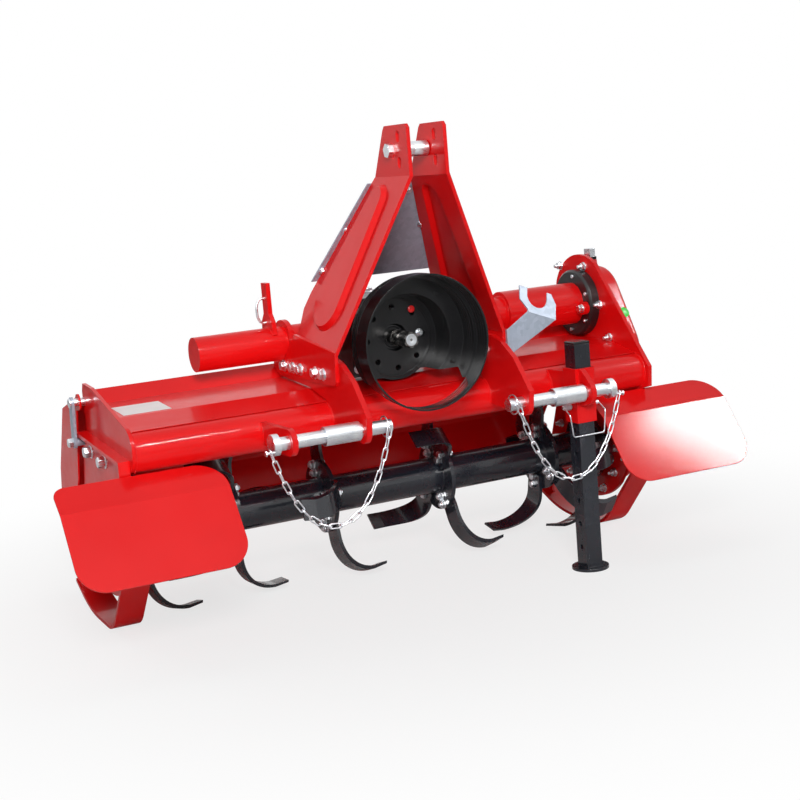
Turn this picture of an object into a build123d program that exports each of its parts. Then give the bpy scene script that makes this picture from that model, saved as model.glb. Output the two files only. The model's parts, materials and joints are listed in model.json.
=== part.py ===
import os
from math import asinh, atan2, cos, degrees, pi, radians, sin, sinh, sqrt

from build123d import *

os.makedirs("parts", exist_ok=True)

# Rotary tiller for a three-point hitch.  X runs along the rotor, -Y is the tractor side, Z is up.
# The numbers below are measured from the rotor axis in Y, from the shaft in X and from the floor in Z.
# Every saved piece is then shifted by ORIGIN_Y, so that the origin is under the middle of the machine.

# ---- main sizes, mm ----
ORIGIN_Y = 18.0
LEFT_X = -640.0          # outer face of the left end plate
RIGHT_X = 606.0          # inner face of the gearcase plate
AXIS_Z = 203.0           # rotor axis height
DRIVE_Y = 22.0           # drive shaft axis, behind the rotor axis
DRIVE_Z = 563.0          # drive shaft and power take-off height
PLATE_T = 8.0            # end plates
CASE_T = 10.0            # gearcase plate
BEAM_Y = -190.0          # front tube
BEAM_Z = 410.0
BEAM_R = 42.0
BEAM_WALL = 5.0
PIN_Y = -367.0           # lower hitch pins
PIN_Z = 412.0
PIN_R = 14.0
LUG_IN = 192.0           # middle of the inner lugs
LUG_OUT = 354.0          # middle of the outer lugs
LUG_T = 12.0
LUG_R = 28.0
HINGE_Y = 104.0          # rear board hinge
HINGE_Z = 485.0
HINGE_R = 9.0
STUB_R = 24.0            # rotor journals
STUB_L = 24.0
FIT = 0.3                # gap between curved faces of neighbouring pieces
RUN = 0.05               # radial gap of a shaft that turns in its bore


def save(part, label):
    part = part.moved(Location((0, ORIGIN_Y, 0)))
    part.label = label
    export_step(part, f"parts/{label}.step")


# ================= housing =================
DECK_TOP = [(98.0, 509.0), (58.0, 481.0), (-110.0, 472.0), (-172.0, 458.5), (-198.0, 453.4)]
DECK_LOW = [(-198.0, 452.4), (-172.0, 453.6), (-110.0, 467.0), (58.0, 476.0), (98.0, 504.0)]
HOUSE_START = LEFT_X + PLATE_T
HOUSE_L = RIGHT_X - HOUSE_START
with BuildPart() as deck:
    with BuildSketch(Plane.YZ.offset(HOUSE_START)):
        with BuildLine():
            Polyline(*DECK_TOP, *DECK_LOW, close=True)
        make_face()
    extrude(amount=HOUSE_L)
save(deck.part, "deck")

with BuildPart() as front_tube:
    with BuildSketch(Plane.YZ.offset(HOUSE_START)):
        with Locations((BEAM_Y, BEAM_Z)):
            Circle(BEAM_R)
            Circle(BEAM_R - BEAM_WALL, mode=Mode.SUBTRACT)
    extrude(amount=HOUSE_L)
save(front_tube.part, "front_tube")

END_FRONT = (-196.0, 464.0)
END_LOW = (-205.0, 372.0)
END_TOP = [(118, 372), (118, 505), (108, 524), (39, 520)]
with BuildPart() as end_plate:
    with BuildSketch(Plane.YZ.offset(LEFT_X)):
        with BuildLine():
            Polyline(END_LOW, *END_TOP, END_FRONT)
            ThreePointArc(END_FRONT, (BEAM_Y - BEAM_R - 4, BEAM_Z + 4), END_LOW)
        make_face()
        with Locations((HINGE_Y, HINGE_Z)):
            Circle(HINGE_R + FIT, mode=Mode.SUBTRACT)
    extrude(amount=PLATE_T)
save(end_plate.part, "end_plate_left")

# lower side plate, bolted outside the end plate, with a flange turned out along its top and front
SIDE_FLANGE = 16.0
SIDE_T = 8.0
NOSE = [(-206, 366), (-214, 363.9), (-262, 329.4), (-205, 300)]
SIDE_FRONT = [(118, 418), (-208, 398), *NOSE, (-176, 215), (-104, 120)]
SIDE_BACK = [(120, 96), (246, 76), (276, 92), (200, 200), (150, 330), SIDE_FRONT[0]]
SIDE_LOW = (0, 70)
with BuildPart() as side_plate:
    with BuildSketch(Plane.YZ.offset(LEFT_X - PLATE_T)):
        with BuildLine():
            Polyline(*SIDE_FRONT)
            ThreePointArc(SIDE_FRONT[-1], SIDE_LOW, SIDE_BACK[0])
            Polyline(*SIDE_BACK)
        make_face()
        with Locations((0, AXIS_Z)):
            Circle(STUB_R + 18, mode=Mode.SUBTRACT)
    extrude(amount=PLATE_T)
    with BuildSketch(Plane.YZ.offset(LEFT_X - PLATE_T - SIDE_FLANGE)):
        with BuildLine():
            Polyline(*SIDE_FRONT[:3], (NOSE[0][0] + SIDE_T, NOSE[0][1]),
                     (SIDE_FRONT[1][0] + SIDE_T, SIDE_FRONT[1][1] - SIDE_T),
                     (SIDE_FRONT[0][0], SIDE_FRONT[0][1] - SIDE_T), close=True)
        make_face()
    extrude(amount=SIDE_FLANGE)
save(side_plate.part, "side_plate_left")

# ================= right gearcase =================
CREST = [(128, DRIVE_Z + 49), (38, DRIVE_Z + 117), (-43, DRIVE_Z + 99)]
CASE = [CREST[2], (-211, 465), (-247, 424), (-243, 376), *NOSE, (-176, 215), (-104, 120)]
CASE_BACK = [(120, 96), (246, 76), (276, 92), (200, 200), (150, 330), (148, 520), CREST[0]]
with BuildPart() as gearcase_plate:
    with BuildSketch(Plane.YZ.offset(RIGHT_X)):
        with BuildLine():
            ThreePointArc(*CREST)
            Polyline(*CASE)
            ThreePointArc(CASE[-1], SIDE_LOW, CASE_BACK[0])
            Polyline(*CASE_BACK)
        make_face()
        with Locations((0, AXIS_Z)):
            Circle(STUB_R + 18, mode=Mode.SUBTRACT)
        with Locations((HINGE_Y, HINGE_Z)):
            Circle(HINGE_R + FIT, mode=Mode.SUBTRACT)
    extrude(amount=CASE_T)
save(gearcase_plate.part, "gearcase_plate")

# pressed cover, the hull of three circles: Y, Z, radius
COVER_D = 58.0
COVER = [(DRIVE_Y, DRIVE_Z, 84.0), (-58.0, 450.0, 72.0), (0.0, AXIS_Z, 98.0)]
COVER_EDGE = 12.0
COVER_X = RIGHT_X + CASE_T
with BuildPart() as gearcase_cover:
    with BuildSketch(Plane.YZ.offset(COVER_X)):
        for y, z, radius in COVER:
            with Locations((y, z)):
                Circle(radius)
        make_hull()
    extrude(amount=COVER_D)
    fillet(gearcase_cover.faces().sort_by(Axis.X)[-1].edges(), COVER_EDGE)
    with BuildSketch(Plane.YZ.offset(COVER_X)):
        with Locations((0, AXIS_Z)):
            Circle(STUB_R + RUN)
    extrude(amount=STUB_L + 2, mode=Mode.SUBTRACT)
save(gearcase_cover.part, "gearcase_cover")

# breather on top of the cover
BREATHER_R = 10.0
BREATHER_Z = DRIVE_Z + COVER[0][2] + 0.2
BREATHER_NECK = 22.0
BREATHER_CAP = 24.0
with BuildPart() as breather:
    with BuildSketch(Plane.XY.offset(BREATHER_Z)):
        with Locations((COVER_X + 22, DRIVE_Y - 4)):
            Circle(BREATHER_R)
    extrude(amount=BREATHER_NECK)
    with BuildSketch(Plane.XY.offset(BREATHER_Z + BREATHER_NECK)):
        with Locations((COVER_X + 22, DRIVE_Y - 4)):
            RegularPolygon(BREATHER_R + 3, 6, major_radius=False)
    extrude(amount=BREATHER_CAP)
save(breather.part, "breather")

# round hub flange between the drive tube and the gearcase plate, stepped towards the tube
HUB_R = 82.0
HUB_T = 26.0
HUB_EDGE = 5.0
with BuildPart() as hub_flange:
    with BuildSketch(Plane.YZ.offset(RIGHT_X)):
        with Locations((DRIVE_Y, DRIVE_Z)):
            Circle(HUB_R)
    extrude(amount=-HUB_T)
    chamfer(hub_flange.faces().sort_by(Axis.X)[0].edges(), HUB_EDGE)
save(hub_flange.part, "hub_flange")

# ================= drive line =================
BOX_HALF = 92.0
BOX_FRONT = -120.0
BOX_BACK = 104.0
BOX_LOW = 482.0
BOX_HIGH = 652.0
BOX_EDGE = 20.0
BOSS_R = 64.0
BOSS_L = 18.0
SHAFT_R = 17.5           # splined end
NECK_R = 18.0            # plain stretch behind the splines
JOURNAL_R = 20.0         # stretch that turns in the gearbox
SHAFT_END = -232.0
SPLINE_L = 66.0
SHAFT_IN = -60.0
BOSS_FRONT = BOX_FRONT - BOSS_L
with BuildPart() as gearbox:
    with BuildSketch(Plane.YZ.offset(-BOX_HALF)):
        with BuildLine():
            Polyline((BOX_FRONT, BOX_LOW), (BOX_FRONT, BOX_HIGH - BOX_EDGE), (BOX_FRONT + BOX_EDGE, BOX_HIGH),
                     (BOX_BACK - BOX_EDGE, BOX_HIGH), (BOX_BACK, BOX_HIGH - BOX_EDGE), (BOX_BACK, 530),
                     (72, 516), (-70, 516), (-92, BOX_LOW), close=True)
        make_face()
    extrude(amount=2 * BOX_HALF)
    with BuildSketch(Plane.XZ.offset(-BOX_FRONT)):
        with Locations((0, DRIVE_Z)):
            Circle(BOSS_R)
    extrude(amount=BOSS_L)
    with BuildSketch(Plane.XZ.offset(-BOSS_FRONT)):
        with Locations((0, DRIVE_Z)):
            Circle(JOURNAL_R + RUN)
    extrude(amount=BOSS_FRONT - SHAFT_IN, mode=Mode.SUBTRACT)
save(gearbox.part, "gearbox")

TUBE_R = 38.5
TUBE_WALL = 6.0
TUBE_END = -408.0
with BuildPart() as cross_tube:
    with BuildSketch(Plane.YZ.offset(TUBE_END)):
        with Locations((DRIVE_Y, DRIVE_Z)):
            Circle(TUBE_R)
    extrude(amount=-BOX_HALF - TUBE_END)
    with BuildSketch(Plane.YZ.offset(-BOX_HALF)):
        with Locations((DRIVE_Y, DRIVE_Z)):
            Circle(TUBE_R - TUBE_WALL)
    extrude(amount=TUBE_END + TUBE_WALL + BOX_HALF, mode=Mode.SUBTRACT)
save(cross_tube.part, "cross_tube")

SLEEVE_R = 51.0
SLEEVE_START = 372.0
EAR_T = 14.0
EAR_R = 16.0
EAR_RING = 62.0
EARS = 2
EAR_TURN = 188.0
EAR_X = RIGHT_X - HUB_T - EAR_T
with BuildPart() as drive_tube:
    with BuildSketch(Plane.YZ.offset(BOX_HALF)):
        with Locations((DRIVE_Y, DRIVE_Z)):
            Circle(TUBE_R)
    extrude(amount=SLEEVE_START - BOX_HALF)
    with BuildSketch(Plane.YZ.offset(SLEEVE_START)):
        with Locations((DRIVE_Y, DRIVE_Z)):
            Circle(SLEEVE_R)
    extrude(amount=EAR_X - SLEEVE_START)
    with BuildSketch(Plane.YZ.offset(EAR_X)):
        with Locations((DRIVE_Y, DRIVE_Z)):
            Circle(SLEEVE_R)
            with PolarLocations(EAR_RING, EARS, EAR_TURN):
                Circle(EAR_R)
    extrude(amount=EAR_T)
save(drive_tube.part, "drive_tube")

# power take-off shaft: six splines with a locking groove, a plain neck and a journal
SPLINES = 6
SLOT_DEPTH = 2.6
SLOT_W = 8.7
GROOVE_AT = 38.0
GROOVE_W = 7.0
SPLINE_IN = SHAFT_END + SPLINE_L
with BuildPart() as pto_shaft:
    with BuildSketch(Plane.XZ.offset(-SHAFT_IN)):
        with Locations((0, DRIVE_Z)):
            Circle(JOURNAL_R)
    extrude(amount=SHAFT_IN - BOSS_FRONT)
    with BuildSketch(Plane.XZ.offset(-BOSS_FRONT)):
        with Locations((0, DRIVE_Z)):
            Circle(NECK_R)
    extrude(amount=BOSS_FRONT - SPLINE_IN)
    with BuildSketch(Plane.XZ.offset(-SPLINE_IN)):
        with Locations((0, DRIVE_Z)):
            Circle(SHAFT_R)
            with PolarLocations(SHAFT_R, SPLINES):
                Rectangle(2 * SLOT_DEPTH, SLOT_W, mode=Mode.SUBTRACT)
    extrude(amount=SPLINE_L)
    with BuildSketch(Plane.XZ.offset(-(SHAFT_END + GROOVE_AT))):
        with Locations((0, DRIVE_Z)):
            Circle(SHAFT_R + 1)
            Circle(SHAFT_R - SLOT_DEPTH, mode=Mode.SUBTRACT)
    extrude(amount=GROOVE_W, mode=Mode.SUBTRACT)
save(pto_shaft.part, "pto_shaft")

# guard round the shaft: hoop, ribbed shoulder, flat ring and neck, cut away below behind the hoop
GUARD_R = 146.0
GUARD_FRONT = -312.0
GUARD_HOOP = 16.0
SHOULDER_R = 139.0
SHOULDER_Y = -264.0
RING_R = 138.0
RING_Y = -222.0
GUARD_NECK = 104.0
GUARD_BACK = BOSS_FRONT - 14.0
GUARD_SEAT = 88.0
GUARD_T = 4.0
RIB_YS = (-256.0, -248.0, -240.0, -232.0)
RIB_W = 3.0
RIB_H = 8.0
OPEN_Z = 488.0
with BuildPart() as guard:
    with BuildSketch(Plane.YZ):
        with BuildLine():
            Polyline((GUARD_FRONT, GUARD_R), (SHOULDER_Y, GUARD_R), (SHOULDER_Y, SHOULDER_R),
                     (RING_Y + GUARD_T, RING_R), (RING_Y + GUARD_T, GUARD_NECK), (GUARD_BACK, GUARD_NECK),
                     (GUARD_BACK, GUARD_SEAT), (GUARD_BACK - GUARD_T, GUARD_SEAT),
                     (GUARD_BACK - GUARD_T, GUARD_NECK - GUARD_T), (RING_Y, GUARD_NECK - GUARD_T),
                     (RING_Y, RING_R - GUARD_T), (SHOULDER_Y - GUARD_T, SHOULDER_R - GUARD_T),
                     (SHOULDER_Y - GUARD_T, GUARD_R - GUARD_T), (GUARD_FRONT, GUARD_R - GUARD_T), close=True)
        make_face()
        for y in RIB_YS:
            with Locations((y, SHOULDER_R - 1)):
                Rectangle(RIB_W, RIB_H)
    revolve(axis=Axis.Y)
    with BuildSketch(Plane.YZ.offset(-GUARD_R)):
        with BuildLine():
            Polyline((GUARD_FRONT + GUARD_HOOP, -GUARD_R - 1), (GUARD_BACK + 1, -GUARD_R - 1),
                     (GUARD_BACK + 1, OPEN_Z - DRIVE_Z), (RING_Y - 6, OPEN_Z - DRIVE_Z),
                     (GUARD_FRONT + GUARD_HOOP, OPEN_Z - DRIVE_Z - 30), close=True)
        make_face()
    extrude(amount=2 * GUARD_R, mode=Mode.SUBTRACT)
save(guard.part.moved(Location((0, 0, DRIVE_Z))), "guard")

# round plate on the gearbox boss, behind the guard, with a raised ring
PLATE_R = 94.0
PLATE_HOLE = 30.0
PLATE_RING = 68.0        # radius the small holes lie on
PLATE_HOLES = 8
PLATE_BORE = 6.5
with BuildPart() as guard_plate:
    with BuildSketch(Plane.XZ.offset(-BOSS_FRONT)):
        with Locations((0, DRIVE_Z)):
            Circle(PLATE_R)
            Circle(PLATE_HOLE, mode=Mode.SUBTRACT)
            with PolarLocations(PLATE_RING, PLATE_HOLES, 2):
                Circle(PLATE_BORE, mode=Mode.SUBTRACT)
    extrude(amount=BOSS_FRONT - GUARD_BACK)
    with BuildSketch(Plane.XZ.offset(-GUARD_BACK)):
        with Locations((0, DRIVE_Z)):
            Circle(GUARD_SEAT - 1)
            Circle(GUARD_SEAT - 4, mode=Mode.SUBTRACT)
    extrude(amount=GUARD_T)
save(guard_plate.part, "guard_plate")

# ================= tower =================
TOWER_T = 8.0
TOWER_TOP = 1019.0
HEAD_L = 104.0           # straight head above the bend
TOWER_BEND = TOWER_TOP - HEAD_L
TOWER_FOOT = 560.0
TOWER_LOW = 494.0
TOWER_X = 46.0
FOOT_X = LUG_IN + LUG_T / 2 + TOWER_T
TOP_PIN_Y = -300.0
TOP_PIN_Z = TOWER_TOP - 51.0
TOP_BOLT_R = 7.0
SPREADER_R = 16.0        # sleeve on the bolt, between the uprights
SPREADER_L = 40.0
TOP_HEX_R = 15.5
TOP_HEX_T = 11.0
EMBOSS = 10.0
EMBOSS_SLOPE = 40.0
HEAD_FRONT = -376.0
HEAD_BACK = -212.0
REAR_TOP = (-204.0, 14.0)  # rear edge of the blade: Y, distance below the bend along the blade
REAR_LOW = (-64.0, 262.0)
blade_len = sqrt((FOOT_X - TOWER_X) ** 2 + (TOWER_BEND - TOWER_FOOT) ** 2)
blade_lean = atan2(FOOT_X - TOWER_X, TOWER_BEND - TOWER_FOOT)
# pressed panel of the blade, as two circles: Y, Z, radius
PANEL = [(-262.0, TOWER_BEND - 47.0, 36.0), (-184.0, TOWER_BEND - 251.0, 68.0)]
# slots in the head: Z of the middle
SLOT_ZS = (TOWER_TOP - 24.5, TOWER_TOP - 77.1)


def tower(side):
    """One upright: straight head, leaning blade with a pressed panel, and straight foot."""
    blade = Plane(
        origin=(side * TOWER_X, 0, TOWER_BEND),
        x_dir=(0, 1, 0),
        z_dir=(side * cos(blade_lean), 0, sin(blade_lean)),
    )
    down = -side
    spots = [(y, down * (TOWER_BEND - z) / cos(blade_lean), r) for y, z, r in PANEL]
    with BuildPart(mode=Mode.PRIVATE) as upright:
        with BuildSketch(Plane.YZ.offset(side * TOWER_X)):
            with BuildLine():
                Polyline((HEAD_FRONT, TOWER_BEND - 4), (HEAD_FRONT, TOWER_TOP - 8), (HEAD_FRONT + 8, TOWER_TOP),
                         (-275, TOWER_TOP), (-267, TOWER_TOP - 8), (HEAD_BACK, TOWER_BEND - 4), close=True)
            make_face()
            with Locations(*[(-335, z) for z in SLOT_ZS]):
                SlotOverall(24, 15, rotation=90, mode=Mode.SUBTRACT)
            with Locations((TOP_PIN_Y, TOP_PIN_Z)):
                Circle(TOP_BOLT_R + FIT, mode=Mode.SUBTRACT)
        extrude(amount=-side * TOWER_T)
        with BuildSketch(Plane.YZ.offset(side * FOOT_X)):
            with BuildLine():
                Polyline((-283, TOWER_FOOT + 5), (-67, TOWER_FOOT + 29), (-40, TOWER_FOOT + 6),
                         (0, TOWER_LOW + 35), (18, TOWER_LOW + 26), (18, TOWER_LOW + 6), (8, TOWER_LOW),
                         (-270, TOWER_LOW), (-278, TOWER_LOW + 8), close=True)
            make_face()
        extrude(amount=-side * TOWER_T)
        with BuildSketch(blade):
            with BuildLine():
                Polyline((HEAD_FRONT, 0), (HEAD_BACK, 0), (REAR_TOP[0], down * REAR_TOP[1]),
                         (REAR_LOW[0], down * REAR_LOW[1]), (REAR_LOW[0] + 12, down * (REAR_LOW[1] + 38)),
                         (-67, down * (blade_len - 24)), (-283, down * blade_len), close=True)
            make_face()
        extrude(amount=-TOWER_T)
        with BuildSketch(blade):
            for y, v, r in spots:
                with Locations((y, v)):
                    Circle(r)
            make_hull()
        extrude(amount=EMBOSS, taper=EMBOSS_SLOPE)
        with BuildSketch(blade.offset(-TOWER_T)):
            for y, v, r in spots:
                with Locations((y, v)):
                    Circle(r - TOWER_T / 2)
            make_hull()
        extrude(amount=EMBOSS, taper=EMBOSS_SLOPE, mode=Mode.SUBTRACT)
    return upright.part


save(tower(-1), "tower_left")
save(tower(1), "tower_right")

# top link bolt with its head, its nut and the spreader sleeve
with BuildPart() as top_pin:
    with BuildSketch(Plane.YZ.offset(-TOWER_X - TOP_HEX_T)):
        with Locations((TOP_PIN_Y, TOP_PIN_Z)):
            Circle(TOP_BOLT_R)
    extrude(amount=2 * (TOWER_X + TOP_HEX_T) + 6)
    with BuildSketch(Plane.YZ.offset(TOWER_T - TOWER_X)):
        with Locations((TOP_PIN_Y, TOP_PIN_Z)):
            Circle(SPREADER_R)
    extrude(amount=SPREADER_L)
    for start in (-TOWER_X - TOP_HEX_T, TOWER_X):
        with BuildSketch(Plane.YZ.offset(start)):
            with Locations((TOP_PIN_Y, TOP_PIN_Z)):
                RegularPolygon(TOP_HEX_R, 6, rotation=12)
        extrude(amount=TOP_HEX_T)
save(top_pin.part, "top_pin")

# galvanised sheet lying on the rear edges of the uprights
SHEET_T = 3.0
SHEET_L = 238.0
SHEET_TOP = 60.0
SHEET_LOW = 156.0
SHEET_LIFT = 0.2
edge_y = REAR_LOW[0] - REAR_TOP[0]
edge_z = (REAR_TOP[1] - REAR_LOW[1]) * cos(blade_lean)
edge_len = sqrt(edge_y ** 2 + edge_z ** 2)
slope_y = edge_y / edge_len
slope_z = edge_z / edge_len
sheet_plane = Plane(
    origin=(0, REAR_TOP[0] - SHEET_LIFT * slope_z,
            TOWER_BEND - REAR_TOP[1] * cos(blade_lean) + SHEET_LIFT * slope_y),
    x_dir=(1, 0, 0),
    z_dir=(0, -slope_z, slope_y),
)
with BuildPart() as tower_sheet:
    with BuildSketch(sheet_plane):
        with BuildLine():
            Polyline((-SHEET_TOP, 0), (SHEET_TOP, 0), (SHEET_LOW, SHEET_L), (-SHEET_LOW, SHEET_L), close=True)
        make_face()
    extrude(amount=SHEET_T)
save(tower_sheet.part, "tower_sheet")

# ================= lower hitch =================
BRACKET_TOP = DRIVE_Z - 11.0
BRACKET_BACK = [(DRIVE_Y + 38, BRACKET_TOP), (88, 520), (88, 503), (58, 486), (-110, 476), (-174, 461.5),
                (-200, 456.5), (-200, 420), (-232, 396)]
BRACKET_FRONT = [(-400, 440), (-341, 508), (-290, 540), (-250, BRACKET_TOP)]
COLLAR_Z = 52.0          # round top of the bracket over the cross tube
with BuildPart() as bracket:
    with BuildSketch(Plane.YZ.offset(-LUG_IN - LUG_T / 2)):
        with BuildLine():
            Polyline(*BRACKET_BACK, (PIN_Y, PIN_Z - LUG_R), (PIN_Y - LUG_R, PIN_Z), *BRACKET_FRONT, close=True)
        make_face()
        with Locations((PIN_Y, PIN_Z)):
            Circle(LUG_R)
            Circle(PIN_R + FIT, mode=Mode.SUBTRACT)
        with Locations((BEAM_Y, BEAM_Z)):
            Circle(BEAM_R + FIT, mode=Mode.SUBTRACT)
        with Locations((DRIVE_Y, DRIVE_Z)):
            Circle(COLLAR_Z)
            Circle(TUBE_R + FIT, mode=Mode.SUBTRACT)
    extrude(amount=LUG_T)
save(bracket.part, "hitch_bracket_left")
save(mirror(bracket.part, about=Plane.YZ), "hitch_bracket_right")

with BuildPart() as lug:
    with BuildSketch(Plane.YZ.offset(-LUG_OUT - LUG_T / 2)):
        with BuildLine():
            Polyline((-215, 436), (PIN_Y, PIN_Z + LUG_R), (PIN_Y, PIN_Z - LUG_R), (PIN_Y + 15, PIN_Z - LUG_R),
                     (-270, 380), (-215, 396), close=True)
        make_face()
        with Locations((PIN_Y, PIN_Z)):
            Circle(LUG_R)
            Circle(PIN_R + FIT, mode=Mode.SUBTRACT)
        with Locations((BEAM_Y, BEAM_Z)):
            Circle(BEAM_R + FIT, mode=Mode.SUBTRACT)
    extrude(amount=LUG_T)
save(lug.part, "hitch_lug_left")

# stand socket: square sleeve that carries the right outer lug
LEG_W = 40.0
LEG_X = 364.0
LEG_Y = -320.0
SOCKET_W = 50.0
SOCKET_LOW = 340.0
SOCKET_HIGH = 462.0
LOCK_Z = 376.0
LOCK_R = 5.0
SOCKET_BACK = LEG_Y + SOCKET_W / 2 - 5
SOCKET_FACE = LEG_Y - SOCKET_W / 2 + 5
with BuildPart() as socket:
    with BuildSketch(Plane.YZ.offset(LUG_OUT - LUG_T / 2)):
        with BuildLine():
            Polyline((SOCKET_FACE, 462), (-352, 462), (PIN_Y - 12, PIN_Z + LUG_R - 2), (PIN_Y, PIN_Z - LUG_R),
                     (SOCKET_FACE, 376), close=True)
        make_face()
        with Locations((PIN_Y, PIN_Z)):
            Circle(LUG_R)
    extrude(amount=LUG_T)
    with BuildSketch(Plane.YZ.offset(LUG_OUT - LUG_T / 2)):
        with BuildLine():
            Polyline((SOCKET_BACK, 452), (-212, 449), (-205, 380), (SOCKET_BACK, 376), close=True)
        make_face()
    extrude(amount=LUG_T)
    with BuildSketch(Plane.YZ.offset(LUG_OUT - LUG_T / 2)):
        with Locations((PIN_Y, PIN_Z)):
            Circle(PIN_R + FIT)
        with Locations((BEAM_Y, BEAM_Z)):
            Circle(BEAM_R + FIT)
    extrude(amount=LUG_T, mode=Mode.SUBTRACT)
    with BuildSketch(Plane.XY.offset(SOCKET_LOW)):
        with Locations((LEG_X, LEG_Y)):
            Rectangle(SOCKET_W, SOCKET_W)
    extrude(amount=SOCKET_HIGH - SOCKET_LOW)
    with BuildSketch(Plane.XY.offset(SOCKET_LOW)):
        with Locations((LEG_X, LEG_Y)):
            Rectangle(LEG_W + 1.0, LEG_W + 1.0)
    extrude(amount=SOCKET_HIGH - SOCKET_LOW, mode=Mode.SUBTRACT)
    with BuildSketch(Plane.YZ.offset(LEG_X - SOCKET_W)):
        with Locations((LEG_Y, LOCK_Z)):
            Circle(LOCK_R + FIT)
    extrude(amount=2 * SOCKET_W, mode=Mode.SUBTRACT)
save(socket.part, "stand_socket")

# hitch pins: column names are label, side, inner end, outer end, spacer start
PINS = [("left", -1, 132.0, 396.0, 204.0), ("right", 1, 150.0, 418.0, 262.0)]
COLLAR_R = 22.0
COLLAR_T = 14.0
SPACER_R = 20.0
SPACER_L = 78.0
STUD_R = 2.8             # stud on the collar that the chain hangs on
STUD_L = 16.0
STUD_Z = PIN_Z - 12.0
STUD_Y = PIN_Y - 15.0
LINCH_R = 3.0
LINCH_AT = 13.0          # from the pin's inner end
LINCH_L = 25.0
for label, side, inner, outer, spacer in PINS:
    with BuildPart() as hitch_pin:
        with BuildSketch(Plane.YZ.offset(side * inner)):
            with Locations((PIN_Y, PIN_Z)):
                Circle(PIN_R)
        extrude(amount=side * (outer - inner))
        with BuildSketch(Plane.YZ.offset(side * (outer - COLLAR_T))):
            with Locations((PIN_Y, PIN_Z)):
                Circle(COLLAR_R)
        extrude(amount=side * COLLAR_T)
        with BuildSketch(Plane.YZ.offset(side * outer)):
            with Locations((STUD_Y, STUD_Z)):
                Circle(STUD_R)
        extrude(amount=side * STUD_L)
        with BuildSketch(Plane.YZ.offset(side * (outer + STUD_L))):
            with Locations((STUD_Y, STUD_Z)):
                RegularPolygon(STUD_R + 3, 6)
        extrude(amount=side * 3)
        with BuildSketch(Plane.XZ.offset(-PIN_Y - PIN_R - 1)):
            with Locations((side * (inner + LINCH_AT), PIN_Z)):
                Circle(LINCH_R + FIT)
        extrude(amount=2 * PIN_R + 2, mode=Mode.SUBTRACT)
    save(hitch_pin.part, f"hitch_pin_{label}")
with BuildPart() as spacers:
    for label, side, inner, outer, spacer in PINS:
        with BuildSketch(Plane.YZ.offset(side * spacer)):
            with Locations((PIN_Y, PIN_Z)):
                Circle(SPACER_R)
                Circle(PIN_R + FIT, mode=Mode.SUBTRACT)
        extrude(amount=side * SPACER_L)
save(spacers.part, "pin_spacers")

# linch pins through the inner ends, each with its wire loop round the hitch pin
LOOP_R = 21.0
WIRE = 3.0
with BuildPart() as linch_pins:
    for label, side, inner, outer, spacer in PINS:
        x = side * (inner + LINCH_AT)
        with BuildSketch(Plane.XZ.offset(-PIN_Y - LINCH_L)):
            with Locations((x, PIN_Z)):
                RegularPolygon(LINCH_R, 8)
        extrude(amount=2 * LINCH_L + 8)
        with BuildSketch(Plane.YZ.offset(x - WIRE / 2)):
            with Locations((PIN_Y, PIN_Z)):
                RegularPolygon(LOOP_R + WIRE / 2, 16)
                RegularPolygon(LOOP_R - WIRE / 2, 16, mode=Mode.SUBTRACT)
        extrude(amount=WIRE)
save(linch_pins.part, "linch_pins")

# ================= chains =================
# A link is a flat ring with cut corners; each next one is turned a quarter round the chain.
LINK_WIRE = 3.0
LINK_IN = 25.0
LINK_GAP = 6.8
LINK_PLAY = 1.3
PITCH = LINK_IN - LINK_PLAY
LINKS = 20
HOOK = 4.2               # from a stud or linch pin up to the joint of the link that hangs on it
HOOK_Y = PIN_Y - LOOP_R - WIRE / 2 - 2.0
# where each chain hangs: label, side, first stud in X, linch pin in X
CHAINS = [(label, side, outer + 7.0, inner + LINCH_AT) for label, side, inner, outer, spacer in PINS]


def hanging(x0, z0, x1, z1, length, count):
    """Points at equal distances along a chain of that length hung from two points."""
    span = x1 - x0
    rise = z1 - z0
    want = sqrt(length ** 2 - rise ** 2)
    small = span / 60
    large = span * 20
    for _ in range(60):
        a = (small + large) / 2
        if 2 * a * sinh(span / (2 * a)) > want:
            small = a
        else:
            large = a
    left = asinh(rise / (2 * a * sinh(span / (2 * a)))) - span / (2 * a)
    points = []
    for k in range(count + 1):
        along = sinh(left) + k * length / count / a
        u = asinh(along)
        points.append((x0 + a * (u - left), z0 + a * (sqrt(1 + along ** 2) - sqrt(1 + sinh(left) ** 2))))
    return points


def chain_link():
    with BuildPart(mode=Mode.PRIVATE) as link:
        with BuildSketch():
            with BuildSketch(mode=Mode.PRIVATE) as outside:
                Rectangle(LINK_IN + 2 * LINK_WIRE, LINK_GAP + 2 * LINK_WIRE)
                chamfer(outside.vertices(), 3.6)
            with BuildSketch(mode=Mode.PRIVATE) as inside:
                Rectangle(LINK_IN, LINK_GAP)
                chamfer(inside.vertices(), 1.6)
            add(outside.sketch)
            add(inside.sketch, mode=Mode.SUBTRACT)
        extrude(amount=LINK_WIRE / 2, both=True)
    return link.part


for label, side, stud_x, hook_x in CHAINS:
    steep = radians(68)
    points = hanging(hook_x - HOOK * cos(steep), PIN_Z + HOOK * sin(steep),
                     stud_x + HOOK * cos(steep), STUD_Z + HOOK * sin(steep), LINKS * PITCH, LINKS)
    link = chain_link()
    with BuildPart() as chain:
        for k in range(LINKS):
            (xa, za), (xb, zb) = points[k], points[k + 1]
            slope = degrees(atan2(zb - za, side * (xb - xa)))
            y = HOOK_Y + (STUD_Y - HOOK_Y) * (k + 0.5) / LINKS
            spot = Location((side * (xa + xb) / 2, y, (za + zb) / 2), (0, -slope, 0))
            add(spot * Location((0, 0, 0), (90 if k % 2 == 0 else 0, 0, 0)) * link)
    save(chain.part, f"chain_{label}")

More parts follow.
